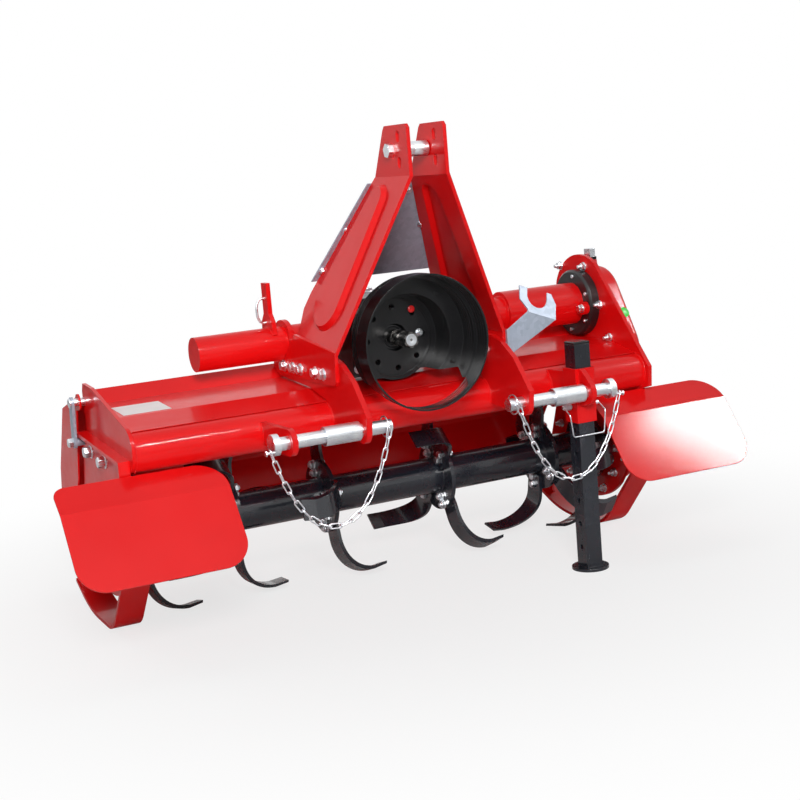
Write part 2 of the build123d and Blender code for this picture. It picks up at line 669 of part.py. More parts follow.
# ================= stand =================
LEG_TOP = 521.0
CAP_T = 6.0
FOOT_R = 42.0
FOOT_T = 6.0
LEG_WALL = 4.0
LEG_TRAVEL = 324.0       # from the lowest setting to the highest
HOLES = 7
HOLE_PITCH = LEG_TRAVEL / (HOLES - 1)
with BuildPart() as leg:
    with BuildSketch():
        with Locations((LEG_X, LEG_Y)):
            Circle(FOOT_R)
    extrude(amount=FOOT_T)
    with BuildSketch(Plane.XY.offset(FOOT_T)):
        with Locations((LEG_X, LEG_Y)):
            Rectangle(LEG_W, LEG_W)
            Rectangle(LEG_W - 2 * LEG_WALL, LEG_W - 2 * LEG_WALL, mode=Mode.SUBTRACT)
    extrude(amount=LEG_TOP - CAP_T - FOOT_T)
    with BuildSketch(Plane.YZ.offset(LEG_X - LEG_W)):
        with Locations(*[(LEG_Y, LOCK_Z - k * HOLE_PITCH) for k in range(HOLES)]):
            RegularPolygon(LOCK_R + 1.0, 8)
    extrude(amount=2 * LEG_W, mode=Mode.SUBTRACT)
save(leg.part, "stand_leg")

# plastic plug in the top of the leg
with BuildPart() as cap:
    with BuildSketch(Plane.XY.offset(LEG_TOP - CAP_T)):
        with Locations((LEG_X, LEG_Y)):
            Rectangle(LEG_W, LEG_W)
    extrude(amount=CAP_T)
    chamfer(cap.faces().sort_by(Axis.Z)[-1].edges(), 2)
    with BuildSketch(Plane.XY.offset(LEG_TOP - CAP_T)):
        with Locations((LEG_X, LEG_Y)):
            Rectangle(LEG_W - 2 * LEG_WALL - 1, LEG_W - 2 * LEG_WALL - 1)
    extrude(amount=-14)
save(cap.part, "stand_cap")

# lock pin with its wire bail hanging in front of the leg
LOCK_L = 96.0
BAIL_Y = LEG_Y - LEG_W / 2 - 8
BAIL_Z = 312.0
with BuildPart() as lock_pin:
    with BuildSketch(Plane.YZ.offset(LEG_X - LOCK_L / 2)):
        with Locations((LEG_Y, LOCK_Z)):
            Circle(LOCK_R)
    extrude(amount=LOCK_L)
    half = LOCK_L / 2 - WIRE / 2
    with BuildLine() as bail_path:
        Polyline((LEG_X - half, LEG_Y, LOCK_Z), (LEG_X - half, BAIL_Y, LOCK_Z - 14),
                 (LEG_X - half + 6, BAIL_Y, BAIL_Z), (LEG_X + half - 6, BAIL_Y, BAIL_Z),
                 (LEG_X + half, BAIL_Y, LOCK_Z - 14), (LEG_X + half, LEG_Y, LOCK_Z))
    with BuildSketch(Plane(origin=bail_path.line @ 0, z_dir=bail_path.line % 0)):
        RegularPolygon(WIRE / 2, 6)
    sweep(path=bail_path.line, transition=Transition.RIGHT)
save(lock_pin.part, "stand_lock")

# ================= rotor =================
ROTOR_R = 43.0
ROTOR_START = LEFT_X + 12
ROTOR_END = RIGHT_X - 6
FLANGES = [-590.0, -375.0, -145.0, 155.0, 441.0, 580.0]
FLANGE_R = 84.0
FLANGE_T = 10.0
with BuildPart() as rotor_shaft:
    with BuildSketch(Plane.YZ.offset(LEFT_X - PLATE_T - STUB_L)):
        with Locations((0, AXIS_Z)):
            Circle(STUB_R)
    extrude(amount=COVER_X + STUB_L - (LEFT_X - PLATE_T - STUB_L))
    with BuildSketch(Plane.YZ.offset(ROTOR_START)):
        with Locations((0, AXIS_Z)):
            Circle(ROTOR_R)
    extrude(amount=ROTOR_END - ROTOR_START)
    for x in FLANGES:
        with BuildSketch(Plane.YZ.offset(x - FLANGE_T / 2)):
            with Locations((0, AXIS_Z)):
                Circle(FLANGE_R)
        extrude(amount=FLANGE_T)
save(rotor_shaft.part, "rotor_shaft")

# curved tines: a bent strip cut to a sabre outline, its shank flat against the flange
TIP_R = 188.0
TINE_T = 8.0
TINE_BEND = 80.0
TINE_REACH = 118.0
SHANK_FOOT = ROTOR_R + 3
TINE_HALF = 70.0


def tine(x, side, angle):
    """One L tine on the side of a flange, its tip turned towards side."""
    face = side * FLANGE_T / 2
    over = face + side * TINE_T
    with BuildPart(mode=Mode.PRIVATE) as blade:
        with BuildSketch(Plane.XZ.offset(-TINE_HALF)):
            with BuildLine():
                inner_z = TIP_R - TINE_T
                Polyline((face, TIP_R - TINE_BEND - TINE_T), (face, SHANK_FOOT), (over, SHANK_FOOT), (over, inner_z - TINE_BEND))
                ThreePointArc((over, inner_z - TINE_BEND),
                              (over + side * 0.293 * TINE_BEND, inner_z - 0.293 * TINE_BEND),
                              (over + side * TINE_BEND, inner_z))
                Polyline((over + side * TINE_BEND, inner_z), (face + side * TINE_REACH, inner_z - 4),
                         (face + side * TINE_REACH, TIP_R - 6), (over + side * TINE_BEND, TIP_R))
                ThreePointArc((over + side * TINE_BEND, TIP_R),
                              (face + side * 0.293 * (TINE_BEND + TINE_T), TIP_R - 0.293 * (TINE_BEND + TINE_T)),
                              (face, TIP_R - TINE_BEND - TINE_T))
            make_face()
        extrude(amount=2 * TINE_HALF)
        with BuildSketch(Plane.YZ.offset(-2 * TINE_REACH)):
            with BuildLine():
                Polyline((-24, SHANK_FOOT), (24, SHANK_FOOT), (30, FLANGE_R))
                ThreePointArc((30, FLANGE_R), (20, 146), (-8, TIP_R + 2))
                Line((-8, TIP_R + 2), (-52, TIP_R + 2))
                ThreePointArc((-52, TIP_R + 2), (-30, 138), (-24, FLANGE_R))
                Line((-24, FLANGE_R), (-24, SHANK_FOOT))
            make_face()
        extrude(amount=4 * TINE_REACH, mode=Mode.INTERSECT)
    return Location((x, 0, AXIS_Z), (angle, 0, 0)) * blade.part


# rows of tines: flange number, side, how many, angle of the first
TINE_ROWS = [
    (0, 1, 4, 77.0),
    (1, 1, 2, 176.0), (1, -1, 2, 212.0),
    (2, 1, 2, 162.0), (2, -1, 2, 256.0),
    (3, 1, 2, 153.0), (3, -1, 2, 221.0),
    (4, 1, 2, 125.0), (4, -1, 2, 191.0),
    (5, -1, 4, 80.0),
]
with BuildPart() as tines:
    for flange, side, count, first in TINE_ROWS:
        for k in range(count):
            add(tine(FLANGES[flange], side, first + k * 360 / count))
save(tines.part, "tines")

BEARING_R = 62.0
BEARING_T = STUB_L + 6
with BuildPart() as bearing:
    with BuildSketch(Plane.YZ.offset(LEFT_X - PLATE_T)):
        with Locations((0, AXIS_Z)):
            Circle(BEARING_R)
    extrude(amount=-BEARING_T)
    chamfer(bearing.faces().sort_by(Axis.X)[0].edges(), 8)
    with BuildSketch(Plane.YZ.offset(LEFT_X - PLATE_T)):
        with Locations((0, AXIS_Z)):
            Circle(STUB_R + RUN)
    extrude(amount=-STUB_L - 2, mode=Mode.SUBTRACT)
save(bearing.part, "bearing_left")

# ================= front wings =================
WING_IN = 456.0
WING_OUT = 804.0
WING_T = 3.0
FOLD_Y = -271.0
FOLD_Z = 327.0
FLAP_Y = -376.0
FLAP_Z = 187.0
TOP_Y = -214.0
TOP_Z = 368.0
WING_CORNER = 58.0
TOP_CORNER_LEFT = 25.0   # corners of the upper flange
TOP_CORNER_RIGHT = 62.0
wing_len = WING_OUT - WING_IN


def wing(side):
    """Guard sheet with one fold, its four corners rounded; both sides carry the same pressing."""
    mid = side * (WING_IN + WING_OUT) / 2
    low_len = sqrt((FLAP_Y - FOLD_Y) ** 2 + (FLAP_Z - FOLD_Z) ** 2)
    top_len = sqrt((TOP_Y - FOLD_Y) ** 2 + (TOP_Z - FOLD_Z) ** 2)
    low = Plane(origin=(mid, FOLD_Y, FOLD_Z), x_dir=(1, 0, 0),
                z_dir=(0, -(FOLD_Z - FLAP_Z) / low_len, (FOLD_Y - FLAP_Y) / low_len))
    high = Plane(origin=(mid, FOLD_Y, FOLD_Z), x_dir=(1, 0, 0),
                 z_dir=(0, -(TOP_Z - FOLD_Z) / top_len, (TOP_Y - FOLD_Y) / top_len))
    half = wing_len / 2
    bulge = (1 - sqrt(0.5)) * WING_CORNER
    with BuildPart(mode=Mode.PRIVATE) as sheet:
        with BuildSketch(low):
            with BuildLine():
                Polyline((-half, 0), (half, 0), (half, WING_CORNER - low_len))
                ThreePointArc((half, WING_CORNER - low_len), (half - bulge, bulge - low_len),
                              (half - WING_CORNER, -low_len))
                Line((half - WING_CORNER, -low_len), (WING_CORNER - half, -low_len))
                ThreePointArc((WING_CORNER - half, -low_len), (bulge - half, bulge - low_len),
                              (-half, WING_CORNER - low_len))
                Line((-half, WING_CORNER - low_len), (-half, 0))
            make_face()
        extrude(amount=-WING_T)
        with BuildSketch(high):
            with BuildLine():
                Polyline((-half, 0), (half, 0), (half, top_len - TOP_CORNER_RIGHT))
                RadiusArc((half, top_len - TOP_CORNER_RIGHT), (half - TOP_CORNER_RIGHT, top_len), -TOP_CORNER_RIGHT)
                Line((half - TOP_CORNER_RIGHT, top_len), (TOP_CORNER_LEFT - half, top_len))
                RadiusArc((TOP_CORNER_LEFT - half, top_len), (-half, top_len - TOP_CORNER_LEFT), -TOP_CORNER_LEFT)
                Line((-half, top_len - TOP_CORNER_LEFT), (-half, 0))
            make_face()
        extrude(amount=-WING_T)
    return sheet.part


save(wing(-1), "wing_left")
save(wing(1), "wing_right")

# ================= skids =================
SKID_W = 62.0
SKID_T = 8.0
SKID_FRONT = (-190.0, 184.0)
SKID_BEND = (-58.0, 38.0)
SKID_FLAT = (4.0, 90.0)
SKID_RISE = (210.0, 31.0)
SKID_BACK = (262.0, 54.0)
TAB_T = 6.0
# label, start of the runner and start of its tabs in X
SKIDS = [("left", LEFT_X - PLATE_T - SKID_W + 40, LEFT_X - PLATE_T - TAB_T),
         ("right", RIGHT_X - 12, RIGHT_X + CASE_T)]
for label, x, tab_x in SKIDS:
    with BuildPart() as skid:
        with BuildSketch(Plane.YZ.offset(x)):
            with BuildLine() as runner:
                Line(SKID_FRONT, SKID_BEND)
                TangentArc(SKID_BEND, (SKID_FLAT[0], SKID_T),
                           tangent=(SKID_BEND[0] - SKID_FRONT[0], SKID_BEND[1] - SKID_FRONT[1]))
                Line((SKID_FLAT[0], SKID_T), (SKID_FLAT[1], SKID_T))
                TangentArc((SKID_FLAT[1], SKID_T), SKID_RISE, tangent=(1, 0))
                Line(SKID_RISE, SKID_BACK)
                offset(amount=SKID_T, side=Side.RIGHT)
            make_face()
        extrude(amount=SKID_W)
        with BuildSketch(Plane.YZ.offset(tab_x)):
            with BuildLine():
                Polyline((228, 40), (262, 51), (262, 100), (238, 100), close=True)
            make_face()
            with BuildLine():
                Polyline((-184, 172), (-150, 134), (-150, 190), (-172, 215), close=True)
            make_face()
        extrude(amount=TAB_T)
    save(skid.part, f"skid_{label}")

# ================= rear board =================
BOARD_T = 4.0
CHEEK_T = 4.0
BOARD_LEFT = LEFT_X - 16
BOARD_RIGHT = RIGHT_X - 12
EYE_R = 18.0
BOARD = [(130, 476), (256, 450), (345, 300), (362, 245), (358, 170), (346, 112)]
CHEEK = [(124, 465), (120, 494), (256, 454), (347, 302), (364, 246), (360, 168), (348, 108), (320, 118), (182, 302)]
with BuildPart() as board:
    with BuildSketch(Plane.YZ.offset(BOARD_LEFT)):
        with BuildLine():
            Polyline(*BOARD, *[(y - BOARD_T, z - 1) for y, z in reversed(BOARD)], close=True)
        make_face()
    extrude(amount=BOARD_RIGHT - BOARD_LEFT + CHEEK_T)
    for x in (BOARD_LEFT, BOARD_RIGHT):
        with BuildSketch(Plane.YZ.offset(x)):
            with BuildLine():
                Polyline(*CHEEK, close=True)
            make_face()
            with BuildLine():
                Polyline((124, 465), (HINGE_Y, HINGE_Z - EYE_R), (HINGE_Y, HINGE_Z + EYE_R), (120, 494), close=True)
            make_face()
            with Locations((HINGE_Y, HINGE_Z)):
                Circle(EYE_R)
                Circle(HINGE_R + RUN, mode=Mode.SUBTRACT)
        extrude(amount=CHEEK_T)
save(board.part, "rear_board")

# hinge pins; the left one also carries the retaining bar
BAR_X = LEFT_X - 32
with BuildPart() as hinge_pins:
    for start, end in ((BAR_X, LEFT_X + PLATE_T + 6), (RIGHT_X - 20, RIGHT_X + CASE_T - 1)):
        with BuildSketch(Plane.YZ.offset(start)):
            with Locations((HINGE_Y, HINGE_Z)):
                Circle(HINGE_R)
        extrude(amount=end - start)
save(hinge_pins.part, "hinge_pins")

# galvanised bar from the left hinge pin down to the side plate's rear bolt
BAR_W = 26.0
BAR_T = 6.0
BAR_LOW = (118.0, 396.0)
with BuildPart() as bar:
    with BuildSketch(Plane.YZ.offset(BAR_X)):
        with Locations((HINGE_Y, HINGE_Z), BAR_LOW):
            Circle(BAR_W / 2)
        make_hull()
        with Locations((HINGE_Y, HINGE_Z)):
            Circle(HINGE_R + FIT, mode=Mode.SUBTRACT)
    extrude(amount=BAR_T)
    with BuildSketch(Plane.YZ.offset(BAR_X + BAR_T)):
        with Locations(BAR_LOW):
            Circle(HINGE_R)
    extrude(amount=LEFT_X - PLATE_T - BAR_X - BAR_T)
save(bar.part, "retaining_bar")

# ================= small carriers on the tubes =================
# upright clevis bar on the cross tube, with its pin and wire ring
CLEVIS_X = -226.0
CLEVIS_T = 10.0
CLEVIS_W = 30.0
CLEVIS_TOP = 702.0
CLEVIS_PIN_Z = 668.0
RING_IN = 24.0
with BuildPart() as clevis:
    with BuildSketch(Plane.YZ.offset(CLEVIS_X - CLEVIS_T / 2)):
        with BuildLine():
            Polyline((DRIVE_Y - 34, DRIVE_Z + 24), (DRIVE_Y + 34, DRIVE_Z + 24), (DRIVE_Y + 30, DRIVE_Z + 52),
                     (DRIVE_Y + CLEVIS_W / 2, DRIVE_Z + 70), (DRIVE_Y + CLEVIS_W / 2, CLEVIS_TOP),
                     (DRIVE_Y - CLEVIS_W / 2, CLEVIS_TOP), (DRIVE_Y - CLEVIS_W / 2, DRIVE_Z + 70),
                     (DRIVE_Y - 30, DRIVE_Z + 52), close=True)
        make_face()
        with Locations((DRIVE_Y, DRIVE_Z)):
            Circle(TUBE_R + FIT, mode=Mode.SUBTRACT)
    extrude(amount=CLEVIS_T)
save(clevis.part, "rod_clevis")

with BuildPart() as clevis_ring:
    with BuildSketch(Plane.XZ.offset(-DRIVE_Y)):
        with BuildLine():
            x_out = CLEVIS_X - CLEVIS_T / 2
            Polyline((x_out, CLEVIS_PIN_Z + 4), (x_out - RING_IN, CLEVIS_PIN_Z - 4),
                     (x_out - RING_IN, CLEVIS_PIN_Z - 50), (x_out, CLEVIS_PIN_Z - 58), (x_out, CLEVIS_PIN_Z - 51),
                     (x_out - RING_IN + 7, CLEVIS_PIN_Z - 45), (x_out - RING_IN + 7, CLEVIS_PIN_Z - 9),
                     (x_out, CLEVIS_PIN_Z - 3), close=True)
        make_face()
    extrude(amount=3.5, both=True)
save(clevis_ring.part, "clevis_ring")

# galvanised holder for the drive shaft: tab on the right upright's foot, folded strip and cradle
HOLDER_T = 3.0
HOLDER_Y = -286.0
HOLDER_LOW = 512.0
HOLDER_HIGH = 562.0
HOLDER_TAB = 40.0
HOLDER_LEAN = 24.0
FOLD_A = (263.0, 597.0)
FOLD_B = (333.0, 570.0)
CRADLE_R = 27.0
CRADLE_U = 24.0
CRADLE_V = 41.0
PRONG_V = 56.0
fold_len = sqrt((FOLD_B[0] - FOLD_A[0]) ** 2 + (FOLD_B[1] - FOLD_A[1]) ** 2)
fold_x = (FOLD_B[0] - FOLD_A[0]) / fold_len
fold_z = (FOLD_B[1] - FOLD_A[1]) / fold_len
fold_sin = sin(radians(HOLDER_LEAN))
fold_cos = cos(radians(HOLDER_LEAN))
with BuildPart() as holder:
    with BuildSketch(Plane.XZ.offset(-HOLDER_Y)):
        with BuildLine():
            Polyline((FOOT_X, HOLDER_LOW), (FOOT_X, HOLDER_HIGH), FOLD_A, FOLD_B, (FOOT_X + 14, HOLDER_LOW), close=True)
        make_face()
    extrude(amount=HOLDER_T)
    with BuildSketch(Plane.YZ.offset(FOOT_X)):
        with BuildLine():
            Polyline((HOLDER_Y - HOLDER_T, HOLDER_LOW), (HOLDER_Y - HOLDER_T, HOLDER_HIGH),
                     (HOLDER_Y + HOLDER_TAB, HOLDER_HIGH), (HOLDER_Y + HOLDER_TAB, HOLDER_LOW), close=True)
        make_face()
    extrude(amount=HOLDER_T)
    fold_plane = Plane(origin=(FOLD_A[0], HOLDER_Y, FOLD_A[1]), x_dir=(fold_x, 0, fold_z),
                       z_dir=(-fold_z * fold_sin, -fold_cos, fold_x * fold_sin))
    with BuildSketch(fold_plane):
        with BuildLine():
            Polyline((0, -2), (0, 4), (-22, 24), (-24, PRONG_V), (fold_len - 13, PRONG_V + 2),
                     (fold_len, PRONG_V - 20), (fold_len, -2), close=True)
        make_face()
        with Locations((CRADLE_U, CRADLE_V)):
            Circle(CRADLE_R, mode=Mode.SUBTRACT)
        with Locations((CRADLE_U, CRADLE_V + CRADLE_R)):
            Rectangle(2 * CRADLE_R, 2 * CRADLE_R, mode=Mode.SUBTRACT)
    extrude(amount=HOLDER_T)
save(holder.part, "shaft_holder")
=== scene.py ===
import json
import math

import bmesh
import bpy
from mathutils import Matrix, Quaternion, Vector


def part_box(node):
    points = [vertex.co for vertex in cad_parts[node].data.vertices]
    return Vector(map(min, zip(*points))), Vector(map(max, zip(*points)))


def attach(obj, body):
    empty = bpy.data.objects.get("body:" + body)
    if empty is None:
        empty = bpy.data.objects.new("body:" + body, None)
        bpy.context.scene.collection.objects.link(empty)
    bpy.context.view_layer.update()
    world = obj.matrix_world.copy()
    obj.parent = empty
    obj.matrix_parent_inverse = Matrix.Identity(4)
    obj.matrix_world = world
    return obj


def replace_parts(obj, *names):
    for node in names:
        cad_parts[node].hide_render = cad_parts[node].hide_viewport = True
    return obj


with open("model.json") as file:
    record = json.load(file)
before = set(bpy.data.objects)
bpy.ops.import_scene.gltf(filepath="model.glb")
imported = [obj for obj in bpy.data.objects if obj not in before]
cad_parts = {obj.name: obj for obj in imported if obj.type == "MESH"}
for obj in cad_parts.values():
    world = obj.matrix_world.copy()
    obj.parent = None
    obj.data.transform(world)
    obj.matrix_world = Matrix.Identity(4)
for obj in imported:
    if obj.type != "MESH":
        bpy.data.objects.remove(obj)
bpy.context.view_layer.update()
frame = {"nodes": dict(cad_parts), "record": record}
record = frame["record"]
joint = {j["name"]: j for j in record["behaviour"]["joints"]}
AXIS = Vector(joint["rotor_spin"]["pos_m"])


def P(x, y, z):
    """A point in metres from millimetres: X from the shaft, Y from the rotor axis, Z from the floor."""
    return Vector((x / 1000, AXIS.y + y / 1000, z / 1000))


# ---------------------------------------------------------------- places in millimetres, as P takes them
AXIS_Z = AXIS.z * 1000
SHAFT_Z = joint["pto_spin"]["pos_m"][2] * 1000
DRIVE_Y = 22.0           # axis of the cross tube and the drive tube, at the height of the shaft


def node_box(node):
    """Lowest and highest corners of a node, in the same millimetres that P takes."""
    low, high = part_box(node)
    shift = Vector((0, AXIS.y, 0))
    return (low - shift) * 1000, (high - shift) * 1000


# ---------------------------------------------------------------- materials
FINE_RELIEF = 0.0003     # distance of the finest bumps, in metres


def tree_of(block):
    """The emptied node tree of a material or a world."""
    block.use_nodes = True
    block.node_tree.nodes.clear()
    return block.node_tree


def node_in(tree, kind, **values):
    """A new node in a tree; each value goes to its setting or input of that name."""
    node = tree.nodes.new(kind)
    for key, value in values.items():
        if hasattr(node, key):
            setattr(node, key, value)
        else:
            node.inputs[key.replace("_", " ")].default_value = value
    return node


class Nodes:
    """Small helper that builds a Principled material from procedural nodes."""

    def __init__(self, name):
        self.mat = bpy.data.materials.new(name)
        self.tree = tree_of(self.mat)
        out = self.add("ShaderNodeOutputMaterial")
        self.bsdf = self.add("ShaderNodeBsdfPrincipled")
        self.link(self.bsdf, "BSDF", out, "Surface")
        self.coord = self.add("ShaderNodeTexCoord")

    def add(self, kind, **values):
        return node_in(self.tree, kind, **values)

    def link(self, a, out, b, inp):
        self.tree.links.new(a.outputs[out], b.inputs[inp])

    def set(self, **values):
        for key, value in values.items():
            self.bsdf.inputs[key.replace("_", " ")].default_value = value

    def stretched(self, scale):
        """Object coordinates, scaled along each axis."""
        mapping = self.add("ShaderNodeMapping")
        mapping.inputs["Scale"].default_value = scale
        self.link(self.coord, "Object", mapping, "Vector")
        return mapping

    def noise(self, scale, detail, rough, source=None):
        node = self.add("ShaderNodeTexNoise", Scale=scale, Detail=detail, Roughness=rough)
        if source is None:
            self.link(self.coord, "Object", node, "Vector")
        else:
            self.link(source, "Vector", node, "Vector")
        return node

    def ramp(self, source, out, stops):
        """Colours set at places along an output."""
        node = self.add("ShaderNodeValToRGB")
        ramp = node.color_ramp
        while len(ramp.elements) < len(stops):
            ramp.elements.new(0.5)
        for element, (at, colour) in zip(ramp.elements, stops):
            element.position = at
            element.color = (*colour, 1)
        self.link(source, out, node, "Fac")
        return node

    def spread(self, source, out, low, high, start=0.3, end=0.7):
        """Output spread from low to high as the source goes from start to end."""
        node = self.add("ShaderNodeMapRange")
        node.inputs["From Min"].default_value = start
        node.inputs["From Max"].default_value = end
        node.inputs["To Min"].default_value = low
        node.inputs["To Max"].default_value = high
        self.link(source, out, node, "Value")
        return node

    def rounded(self, radius):
        """Normals that run smoothly round every corner, as paint and plating do."""
        return self.add("ShaderNodeBevel", samples=4, Radius=radius)

    def bump(self, source, out, strength, distance, below):
        """Relief laid over the normals of the node below."""
        node = self.add("ShaderNodeBump", Strength=strength, Distance=distance)
        self.link(source, out, node, "Height")
        self.link(below, "Normal", node, "Normal")
        return node

    def normals(self, last):
        """Gives the shader its normals, and hands over the finished material."""
        self.link(last, "Normal", self.bsdf, "Normal")
        return self.mat


def paint(name, dark, mid, light, rough, spec, coat, wave, peel, edge=0.0014):
    """Gloss paint: faint tone changes, a slow wave of the sheet under it and fine orange peel."""
    n = Nodes(name)
    tone = n.noise(2.7, 3.0, 0.5)
    n.link(n.ramp(tone, "Fac", [(0.3, dark), (0.5, mid), (0.7, light)]), "Color", n.bsdf, "Base Color")
    smear = n.noise(19.0, 4.0, 0.6)
    n.link(n.spread(smear, "Fac", rough * 0.85, rough * 1.2), "Result", n.bsdf, "Roughness")
    n.set(Specular_IOR_Level=spec, Coat_Weight=coat, Coat_Roughness=0.05)
    slow = n.bump(n.noise(6.0, 1.0, 0.3), "Fac", wave, 0.003, below=n.rounded(edge))
    fine = n.bump(n.noise(420.0, 2.0, 0.5), "Fac", peel, FINE_RELIEF, below=slow)
    n.link(fine, "Normal", n.bsdf, "Coat Normal")
    return n.normals(fine)


def plated(name, cool, warm, rough, grain, depth, edge=0.0008):
    """Zinc plate or turned steel: cloudy tone, brushed roughness along X and a fine grain."""
    n = Nodes(name)
    tone = n.noise(38.0, 3.0, 0.5)
    n.link(n.ramp(tone, "Fac", [(0.3, cool), (0.7, warm)]), "Color", n.bsdf, "Base Color")
    streak = n.noise(120.0, 4.0, 0.6, source=n.stretched((0.2, 1.0, 1.0)))
    n.link(n.spread(streak, "Fac", rough * 0.8, rough * 1.25), "Result", n.bsdf, "Roughness")
    n.set(Metallic=1.0)
    return n.normals(n.bump(n.noise(grain, 3.0, 0.5), "Fac", depth, FINE_RELIEF, below=n.rounded(edge)))


SPANGLE_WARP = 0.012     # how far the edges of the cells wander, in metres


def spangled(name):
    """Galvanised sheet: spangle cells with faintly different tone and gloss."""
    n = Nodes(name)
    cells = n.add("ShaderNodeTexVoronoi", Scale=110.0, Randomness=1.0)
    warp = n.noise(40.0, 3.0, 0.5)
    shift = n.add("ShaderNodeVectorMath", operation="MULTIPLY_ADD")
    shift.inputs[1].default_value = (SPANGLE_WARP,) * 3
    n.link(warp, "Color", shift, 0)
    n.link(n.coord, "Object", shift, 2)
    n.link(shift, "Vector", cells, "Vector")
    split = n.add("ShaderNodeSeparateColor")
    n.link(cells, "Color", split, "Color")
    n.link(n.ramp(split, "Red", [(0.0, (0.33, 0.38, 0.46)), (1.0, (0.41, 0.46, 0.55))]), "Color",
           n.bsdf, "Base Color")
    n.link(n.spread(split, "Green", 0.42, 0.52, 0.0, 1.0), "Result", n.bsdf, "Roughness")
    n.set(Metallic=0.35)
    return n.normals(n.bump(n.noise(200.0, 2.0, 0.5), "Fac", 0.05, FINE_RELIEF, below=n.rounded(0.0006)))


def cast(name, dark, light, rough, spec):
    """Painted casting: sandy grain under the paint."""
    n = Nodes(name)
    n.link(n.ramp(n.noise(14.0, 5.0, 0.6), "Fac", [(0.3, dark), (0.7, light)]), "Color", n.bsdf, "Base Color")
    n.link(n.spread(n.noise(60.0, 4.0, 0.6), "Fac", rough * 0.85, rough * 1.2), "Result", n.bsdf, "Roughness")
    n.set(Specular_IOR_Level=spec, Coat_Weight=0.2, Coat_Roughness=0.12)
    return n.normals(n.bump(n.noise(430.0, 4.0, 0.6), "Fac", 0.22, 0.0005, below=n.rounded(0.003)))


def moulded(name, dark, light, rough):
    """Moulded plastic: even tone, faint flow marks and a fine skin."""
    n = Nodes(name)
    n.link(n.ramp(n.noise(7.0, 3.0, 0.5), "Fac", [(0.3, dark), (0.7, light)]), "Color", n.bsdf, "Base Color")
    n.link(n.spread(n.noise(30.0, 4.0, 0.6), "Fac", rough * 0.85, rough * 1.2), "Result", n.bsdf, "Roughness")
    return n.normals(n.bump(n.noise(600.0, 2.0, 0.5), "Fac", 0.06, FINE_RELIEF, below=n.rounded(0.0012)))


MAT = {
    "red_paint": paint("red_paint", (0.73, 0.004, 0.005), (0.79, 0.006, 0.007), (0.84, 0.008, 0.009),
                       rough=0.34, spec=0.05, coat=0.38, wave=0.03, peel=0.30),
    "black_paint": paint("black_paint", (0.007, 0.009, 0.014), (0.011, 0.013, 0.020), (0.016, 0.019, 0.028),
                         rough=0.26, spec=0.5, coat=0.45, wave=0.08, peel=0.18),
    "black_cast": cast("black_cast", (0.006, 0.006, 0.007), (0.014, 0.014, 0.016), rough=0.36, spec=0.45),
    "black_plastic": moulded("black_plastic", (0.006, 0.006, 0.007), (0.011, 0.011, 0.012), rough=0.22),
    "zinc": plated("zinc", (0.66, 0.69, 0.74), (0.80, 0.82, 0.84), rough=0.29, grain=420.0, depth=0.05),
    "galvanised": spangled("galvanised"),
    "machined_steel": plated("machined_steel", (0.10, 0.095, 0.09), (0.34, 0.33, 0.32),
                             rough=0.24, grain=900.0, depth=0.06, edge=0.0005),
    "white_plate": moulded("white_plate", (0.80, 0.80, 0.79), (0.88, 0.88, 0.88), rough=0.35),
    "green_dot": moulded("green_dot", (0.06, 0.70, 0.06), (0.08, 0.80, 0.09), rough=0.30),
    "red_plug": moulded("red_plug", (0.66, 0.01, 0.01), (0.76, 0.02, 0.02), rough=0.30),
}
SLOT_OF = {s["node"]: s["material_slot"] for s in record["subparts"]}

for node, obj in frame["nodes"].items():
    mat = MAT[SLOT_OF[node]]
    if not obj.data.materials:
        obj.data.materials.append(mat)
    for k in range(len(obj.data.materials)):
        obj.data.materials[k] = mat


# ---------------------------------------------------------------- mesh helpers
def finish_piece(name, bm, mat, body, smooth=40.0):
    """Turns a bmesh into an object that rides on a body, with smooth curves and sharp corners."""
    mesh = bpy.data.meshes.new(name)
    bmesh.ops.recalc_face_normals(bm, faces=bm.faces)
    bm.to_mesh(mesh)
    bm.free()
    obj = bpy.data.objects.new(name, mesh)
    bpy.context.scene.collection.objects.link(obj)
    mesh.materials.append(MAT[mat])
    for face in mesh.polygons:
        face.use_smooth = True
    mesh.set_sharp_from_angle(angle=math.radians(smooth))
    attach(obj, body)
    return obj


def frame_along(axis):
    """Rotation whose Z lies along the axis."""
    return Vector(axis).normalized().to_track_quat("Z", "Y").to_matrix().to_4x4()


def angles(count):
    """That many angles, evenly round a circle."""
    return [2 * math.pi * k / count for k in range(count)]


def rings(bm, at, axis, profile, sides, turn=0.0):
    """Lathe of (height, radius) pairs in millimetres along an axis, closed at both ends."""
    place = Matrix.Translation(at) @ frame_along(axis)
    loops = []
    for height, radius in profile:
        loop = []
        for a in angles(sides):
            spot = Vector((radius * math.cos(turn + a), radius * math.sin(turn + a), height)) / 1000
            loop.append(bm.verts.new(place @ spot))
        loops.append(loop)
    for low, high in zip(loops, loops[1:]):
        for k in range(sides):
            j = (k + 1) % sides
            bm.faces.new((low[k], low[j], high[j], high[k]))
    bm.faces.new(loops[0][::-1])
    bm.faces.new(loops[-1])


WASHER_T = 2.0
RIPPLE = 1.6             # pitch of threads, and of the ripples in a weld


def washer(bm, at, axis, radius):
    """Washer sunk 0.4 mm into what it lies on."""
    rings(bm, at, axis, [(-0.4, radius), (WASHER_T * 0.7, radius), (WASHER_T, radius * 0.95)], 24)


